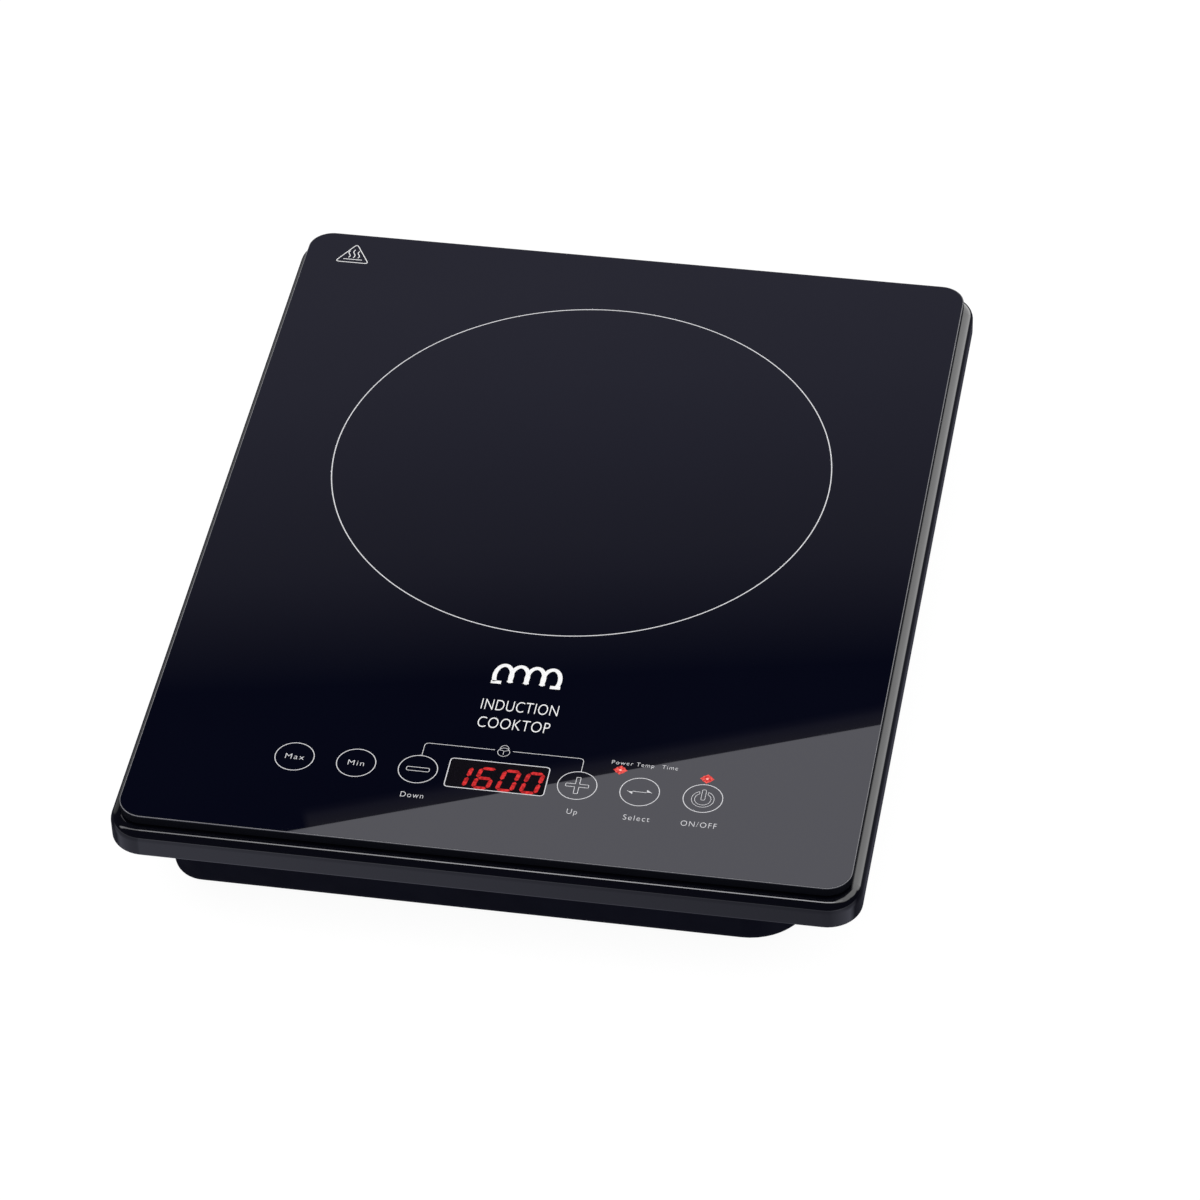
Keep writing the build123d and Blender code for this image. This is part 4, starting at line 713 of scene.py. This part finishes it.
def plate_outline(inset=0.0):
    """Outline of the glass plate, drawn in by an inset."""
    half_w = (GLASS_HIGH.x - GLASS_LOW.x) / MM / 2 - EDGE_CORNER
    half_d = (GLASS_HIGH.y - GLASS_LOW.y) / MM / 2 - EDGE_CORNER
    path = []
    for centre, start in (((half_w, -half_d), -90), ((half_w, half_d), 0), ((-half_w, half_d), 90),
                          ((-half_w, -half_d), 180)):
        path += arc(centre, EDGE_CORNER - inset, start, start + 90, 16)
    return path


def draw_glass_edge(shape):
    """Thin skin over the ground side of the glass plate."""
    add_line(shape, plate_outline(), EDGE_SKIN, closed=True, heights=(EDGE_LOW, EDGE_HIGH))


def draw_painted_highlight(shape):
    """Pale line round the top edge of the glass plate: a painted highlight on the arris."""
    add_line(shape, plate_outline(PAINTED_HIGHLIGHT_INSET), PAINTED_HIGHLIGHT_WIDTH, closed=True, heights=(PAINTED_HIGHLIGHT_LOW, PAINTED_HIGHLIGHT_TOP))


def draw_film(shape):
    """Smoked patch inside the display window's line."""
    inset = 0.2
    size = (WINDOW_SIZE[0] - 2 * inset, WINDOW_SIZE[1] - 2 * inset)
    low, high = layer(FILM_RISE)
    add_plate(shape, rounded_box(WINDOW_CENTRE, size, WINDOW_CORNER - inset), low, high)


PIECES = [
    ("glass_edge_skin", draw_glass_edge, dull_edge_and_painted_highlight("ground_side", (0.0006, 0.0008, 0.0020), 0.05)),
    # The pale arris skin is a painted highlight along the top edge of the glass.
    ("glass_painted_highlight", draw_painted_highlight, dull_edge_and_painted_highlight("painted_arris_highlight", (0.14, 0.14, 0.15), 0.2)),
    ("print_cooking_ring", draw_ring, INK),
    ("print_key_rings", draw_key_rings, INK),
    ("print_window_edge", draw_window_edge, INK),
    ("print_minus", draw_minus, INK),
    ("print_plus", draw_plus, INK),
    ("print_select", draw_select, INK),
    ("print_power", draw_power, INK),
    ("print_brackets", draw_brackets, INK),
    ("print_lock", draw_lock, INK),
    ("print_warning", draw_warning, INK_WHITE),
    ("print_mark", draw_mark, INK_WHITE),
    ("display_film", draw_film, window_film()),
    ("display_digits", draw_digits, DIGIT_LIGHT),
    ("lit_lamps", draw_lamps, LAMP_LIGHT),
    ("lit_lamp_centres", draw_lamp_centres, LAMP_CENTRE),
]
for name, draw, material in PIECES:
    add_mesh(name, draw, material)

# Each caption's name, words, middle, width and capital height.
CAPTIONS = [
    ("label_max", "Max", (KEY_MAX + 0.1, KEY_ROW), 7.3, CAPTION_CAP),
    ("label_min", "Min", (KEY_MIN, KEY_ROW), 6.3, CAPTION_CAP),
    ("label_down", "Down", (KEY_DOWN + 0.5, CAPTION_ROW), 8.8, CAPTION_CAP),
    ("label_up", "Up", (KEY_UP + 0.5, CAPTION_ROW), 4.0, CAPTION_CAP),
    ("label_select", "Select", (KEY_SELECT + 1.1, CAPTION_ROW), 10.1, CAPTION_CAP),
    ("label_power_key", "ON/OFF", (KEY_POWER + 0.6, CAPTION_ROW), 13.6, CAPTION_CAP),
    ("label_power", "Power", (45.5, BRACKET_ROW), 8.2, SMALL_CAP),
    ("label_temp", "Temp", (54.3, BRACKET_ROW), 6.8, SMALL_CAP),
    ("label_time", "Time", (63.8, BRACKET_ROW), 6.1, SMALL_CAP),
]
for name, words, centre, width, cap in CAPTIONS:
    add_text(name, words, centre, width, cap, INK, CAPTION_THIN, CAPTION_SPACING)

MARK_WORDS = [
    ("mark_word_upper", "INDUCTION", (1.2, -99.5), 30.0),
    ("mark_word_lower", "COOKTOP", (0.6, -109.5), 28.0),
]
for name, words, centre, width in MARK_WORDS:
    add_text(name, words, centre, width, MARK_WORD_CAP, INK_WHITE, MARK_THIN, MARK_SPACING)


# ---- Camera, light and floor ----

def add_camera():
    """Camera that looks down at the glass from the front right."""
    forward = Vector((math.sin(CAMERA_YAW) * math.cos(CAMERA_PITCH),
                      math.cos(CAMERA_YAW) * math.cos(CAMERA_PITCH), -math.sin(CAMERA_PITCH)))
    level = Vector((math.cos(CAMERA_YAW), -math.sin(CAMERA_YAW), 0.0))
    rise = level.cross(forward)
    right = level * math.cos(CAMERA_ROLL) + rise * math.sin(CAMERA_ROLL)
    up = rise * math.cos(CAMERA_ROLL) - level * math.sin(CAMERA_ROLL)
    data = bpy.data.cameras.new("camera")
    data.lens = CAMERA_LENS
    data.sensor_width = SENSOR
    camera = bpy.data.objects.new("camera", data)
    turn = Matrix((right, up, -forward)).transposed()
    camera.rotation_euler = turn.to_euler()
    camera.location = TARGET - forward * CAMERA_DISTANCE
    bpy.context.scene.collection.objects.link(camera)
    bpy.context.scene.camera = camera
    return camera.location.copy()


def add_key_light():
    """Soft square lamp above the front left, aimed at the object and hidden from gloss."""
    data = bpy.data.lights.new("key_light", "AREA")
    data.shape = "RECTANGLE"
    data.size = KEY_LIGHT_SIZE
    data.size_y = KEY_LIGHT_SIZE
    data.energy = KEY_LIGHT_POWER
    lamp = bpy.data.objects.new("key_light", data)
    lamp.location = KEY_LIGHT_PLACE
    lamp.rotation_euler = (-Vector(KEY_LIGHT_PLACE)).to_track_quat("-Z", "Y").to_euler()
    lamp.visible_camera = False
    lamp.visible_glossy = False
    bpy.context.scene.collection.objects.link(lamp)


def panel_point(eye, point):
    """Where the panel is met by the eye's line of sight mirrored at a point on the glass."""
    scale = (eye.z - GLASS_TOP + PANEL_HEIGHT) / (eye.z - GLASS_TOP)
    flat = Vector((eye.x, eye.y))
    return flat + (point - flat) * scale


def fill_ramp(ramp, stops):
    """Give a colour ramp its stops, each a position and a colour."""
    first, last = ramp.color_ramp.elements
    first.position, first.color = stops[0][0], (*stops[0][1], 1.0)
    last.position, last.color = stops[-1][0], (*stops[-1][1], 1.0)
    for position, colour in stops[1:-1]:
        ramp.color_ramp.elements.new(position).color = (*colour, 1.0)


def band(tree, value, start, end, stops):
    """Colour of a light band: stops spread over a span of a value."""
    spot = tree.nodes.new("ShaderNodeMapRange")
    spot.inputs["From Min"].default_value = start
    spot.inputs["From Max"].default_value = end
    tree.links.new(value, spot.inputs["Value"])
    ramp = tree.nodes.new("ShaderNodeValToRGB")
    fill_ramp(ramp, stops)
    tree.links.new(spot.outputs["Result"], ramp.inputs["Fac"])
    return ramp.outputs["Color"]


def combine(tree, operation, first, second):
    """Sum, product or maximum of two colours."""
    node = tree.nodes.new("ShaderNodeVectorMath")
    node.operation = operation
    tree.links.new(first, node.inputs[0])
    tree.links.new(second, node.inputs[1])
    return node.outputs["Vector"]


def panel_material():
    """Light panel: bright at the front, a faint strip behind that, then slowly brighter."""
    material = bpy.data.materials.new("studio_panel")
    material.use_nodes = True
    tree = material.node_tree
    tree.nodes.clear()
    place = tree.nodes.new("ShaderNodeTexCoord")
    split = tree.nodes.new("ShaderNodeSeparateXYZ")
    tree.links.new(place.outputs["Object"], split.inputs["Vector"])
    slope = tree.nodes.new("ShaderNodeMath")
    slope.operation = "MULTIPLY_ADD"
    slope.inputs[1].default_value = PANEL_SLOPE
    tree.links.new(split.outputs["X"], slope.inputs[0])
    tree.links.new(split.outputs["Y"], slope.inputs[2])
    edge = band(tree, split.outputs["Y"], *PANEL_EDGE)
    strip = band(tree, split.outputs["Y"], *PANEL_STRIP)
    strip_end = band(tree, split.outputs["X"], *PANEL_STRIP_END)
    far = band(tree, slope.outputs["Value"], *PANEL_FAR)
    total = combine(tree, "ADD", combine(tree, "MULTIPLY", strip, strip_end), far)
    total = combine(tree, "ADD", total, edge)
    light = tree.nodes.new("ShaderNodeEmission")
    light.inputs["Strength"].default_value = PANEL_STRENGTH
    tree.links.new(total, light.inputs["Color"])
    output = tree.nodes.new("ShaderNodeOutputMaterial")
    tree.links.new(light.outputs["Emission"], output.inputs["Surface"])
    return material


def add_reflection_panel(eye):
    """Panel whose bright front part ends, in the glass, from EDGE_LEFT to EDGE_RIGHT."""
    left = panel_point(eye, EDGE_LEFT)
    right = panel_point(eye, EDGE_RIGHT)
    along = (right - left).normalized()
    middle = (left + right) / 2
    mesh = bpy.data.meshes.new("studio_panel")
    (west, east), (south, north) = PANEL_SIDES, PANEL_DEPTH
    corners = [(west, south, 0), (east, south, 0), (east, north, 0), (west, north, 0)]
    mesh.from_pydata(corners, [], [(3, 2, 1, 0)])
    mesh.materials.append(panel_material())
    panel = bpy.data.objects.new("studio_panel", mesh)
    panel.location = (middle.x, middle.y, GLASS_TOP + PANEL_HEIGHT)
    panel.rotation_euler = (0, 0, math.atan2(along.y, along.x))
    panel.visible_camera = False
    panel.visible_diffuse = False
    panel.visible_shadow = False
    bpy.context.scene.collection.objects.link(panel)


def add_floor():
    """Plain pale floor with a glow of its own, hidden from gloss."""
    mesh = bpy.data.meshes.new("floor")
    half = FLOOR_HALF
    corners = [(-half, -half, 0), (half, -half, 0), (half, half, 0), (-half, half, 0)]
    mesh.from_pydata(corners, [], [(0, 1, 2, 3)])
    material, tree, shader, place = start_material("floor_paper")
    tint = blend_colours(tree, noise(tree, place, size=0.4), FLOOR_PAPER, shade(FLOOR_PAPER, 1.04))
    tree.links.new(tint, shader.inputs["Base Color"])
    shader.inputs["Emission Color"].default_value = (1.0, 1.0, 1.0, 1.0)
    shader.inputs["Emission Strength"].default_value = FLOOR_GLOW
    shader.inputs["Roughness"].default_value = 0.9
    shader.inputs["Specular IOR Level"].default_value = 0.0
    mesh.materials.append(material)
    floor = bpy.data.objects.new("floor", mesh)
    floor.visible_glossy = False
    bpy.context.scene.collection.objects.link(floor)


def side_glow(tree, direction, azimuth, height, inner, outer, level):
    """Round soft light in the studio: full inside one angle, gone outside another, in degrees."""
    azimuth, height = math.radians(azimuth), math.radians(height)
    facing = tree.nodes.new("ShaderNodeVectorMath")
    facing.operation = "DOT_PRODUCT"
    facing.inputs[1].default_value = (math.cos(azimuth) * math.cos(height),
                                      math.sin(azimuth) * math.cos(height), math.sin(height))
    tree.links.new(direction, facing.inputs[0])
    fade = tree.nodes.new("ShaderNodeMapRange")
    fade.inputs["From Min"].default_value = math.cos(math.radians(outer))
    fade.inputs["From Max"].default_value = math.cos(math.radians(inner))
    fade.inputs["To Max"].default_value = level
    tree.links.new(facing.outputs["Value"], fade.inputs["Value"])
    return fade.outputs["Result"]


def add_world():
    """Even white surroundings. Gloss sees a dark studio instead, with a few soft lights in it."""
    world = bpy.data.worlds.new("studio")
    world.use_nodes = True
    tree = world.node_tree
    even = tree.nodes["Background"]
    even.inputs["Color"].default_value = (1.0, 1.0, 1.0, 1.0)
    even.inputs["Strength"].default_value = DAYLIGHT
    place = tree.nodes.new("ShaderNodeTexCoord")
    split = tree.nodes.new("ShaderNodeSeparateXYZ")
    tree.links.new(place.outputs["Generated"], split.inputs["Vector"])
    below = combine(tree, "MULTIPLY", band(tree, split.outputs["Z"], *BELOW_BY_HEIGHT),
                    band(tree, split.outputs["X"], *BELOW_BY_SIDE))
    below = combine(tree, "MULTIPLY", below, band(tree, split.outputs["Y"], *BELOW_BY_DEPTH))
    strip = combine(tree, "MULTIPLY", band(tree, split.outputs["Y"], *STRIP_BY_DEPTH),
                    band(tree, split.outputs["X"], *STRIP_BY_SIDE))
    strip = combine(tree, "MULTIPLY", strip, band(tree, split.outputs["Z"], *STRIP_BY_HEIGHT))
    sky = tree.nodes.new("ShaderNodeRGB")
    sky.outputs["Color"].default_value = (*STUDIO_SKY, 1.0)
    total = combine(tree, "ADD", combine(tree, "ADD", below, strip), sky.outputs["Color"])
    for light in SIDE_GLOWS:
        total = combine(tree, "MAXIMUM", total, side_glow(tree, place.outputs["Generated"], *light))
    studio = tree.nodes.new("ShaderNodeBackground")
    studio.inputs["Strength"].default_value = STUDIO_STRENGTH
    tree.links.new(total, studio.inputs["Color"])
    path = tree.nodes.new("ShaderNodeLightPath")
    mix = tree.nodes.new("ShaderNodeMixShader")
    tree.links.new(path.outputs["Is Glossy Ray"], mix.inputs["Fac"])
    tree.links.new(even.outputs["Background"], mix.inputs[1])
    tree.links.new(studio.outputs["Background"], mix.inputs[2])
    tree.links.new(mix.outputs["Shader"], tree.nodes["World Output"].inputs["Surface"])
    bpy.context.scene.world = world


eye = add_camera()
add_world()
add_floor()
add_reflection_panel(eye)
add_key_light()
bpy.context.scene.view_settings.view_transform = "Standard"
bpy.context.scene.view_settings.look = "None"
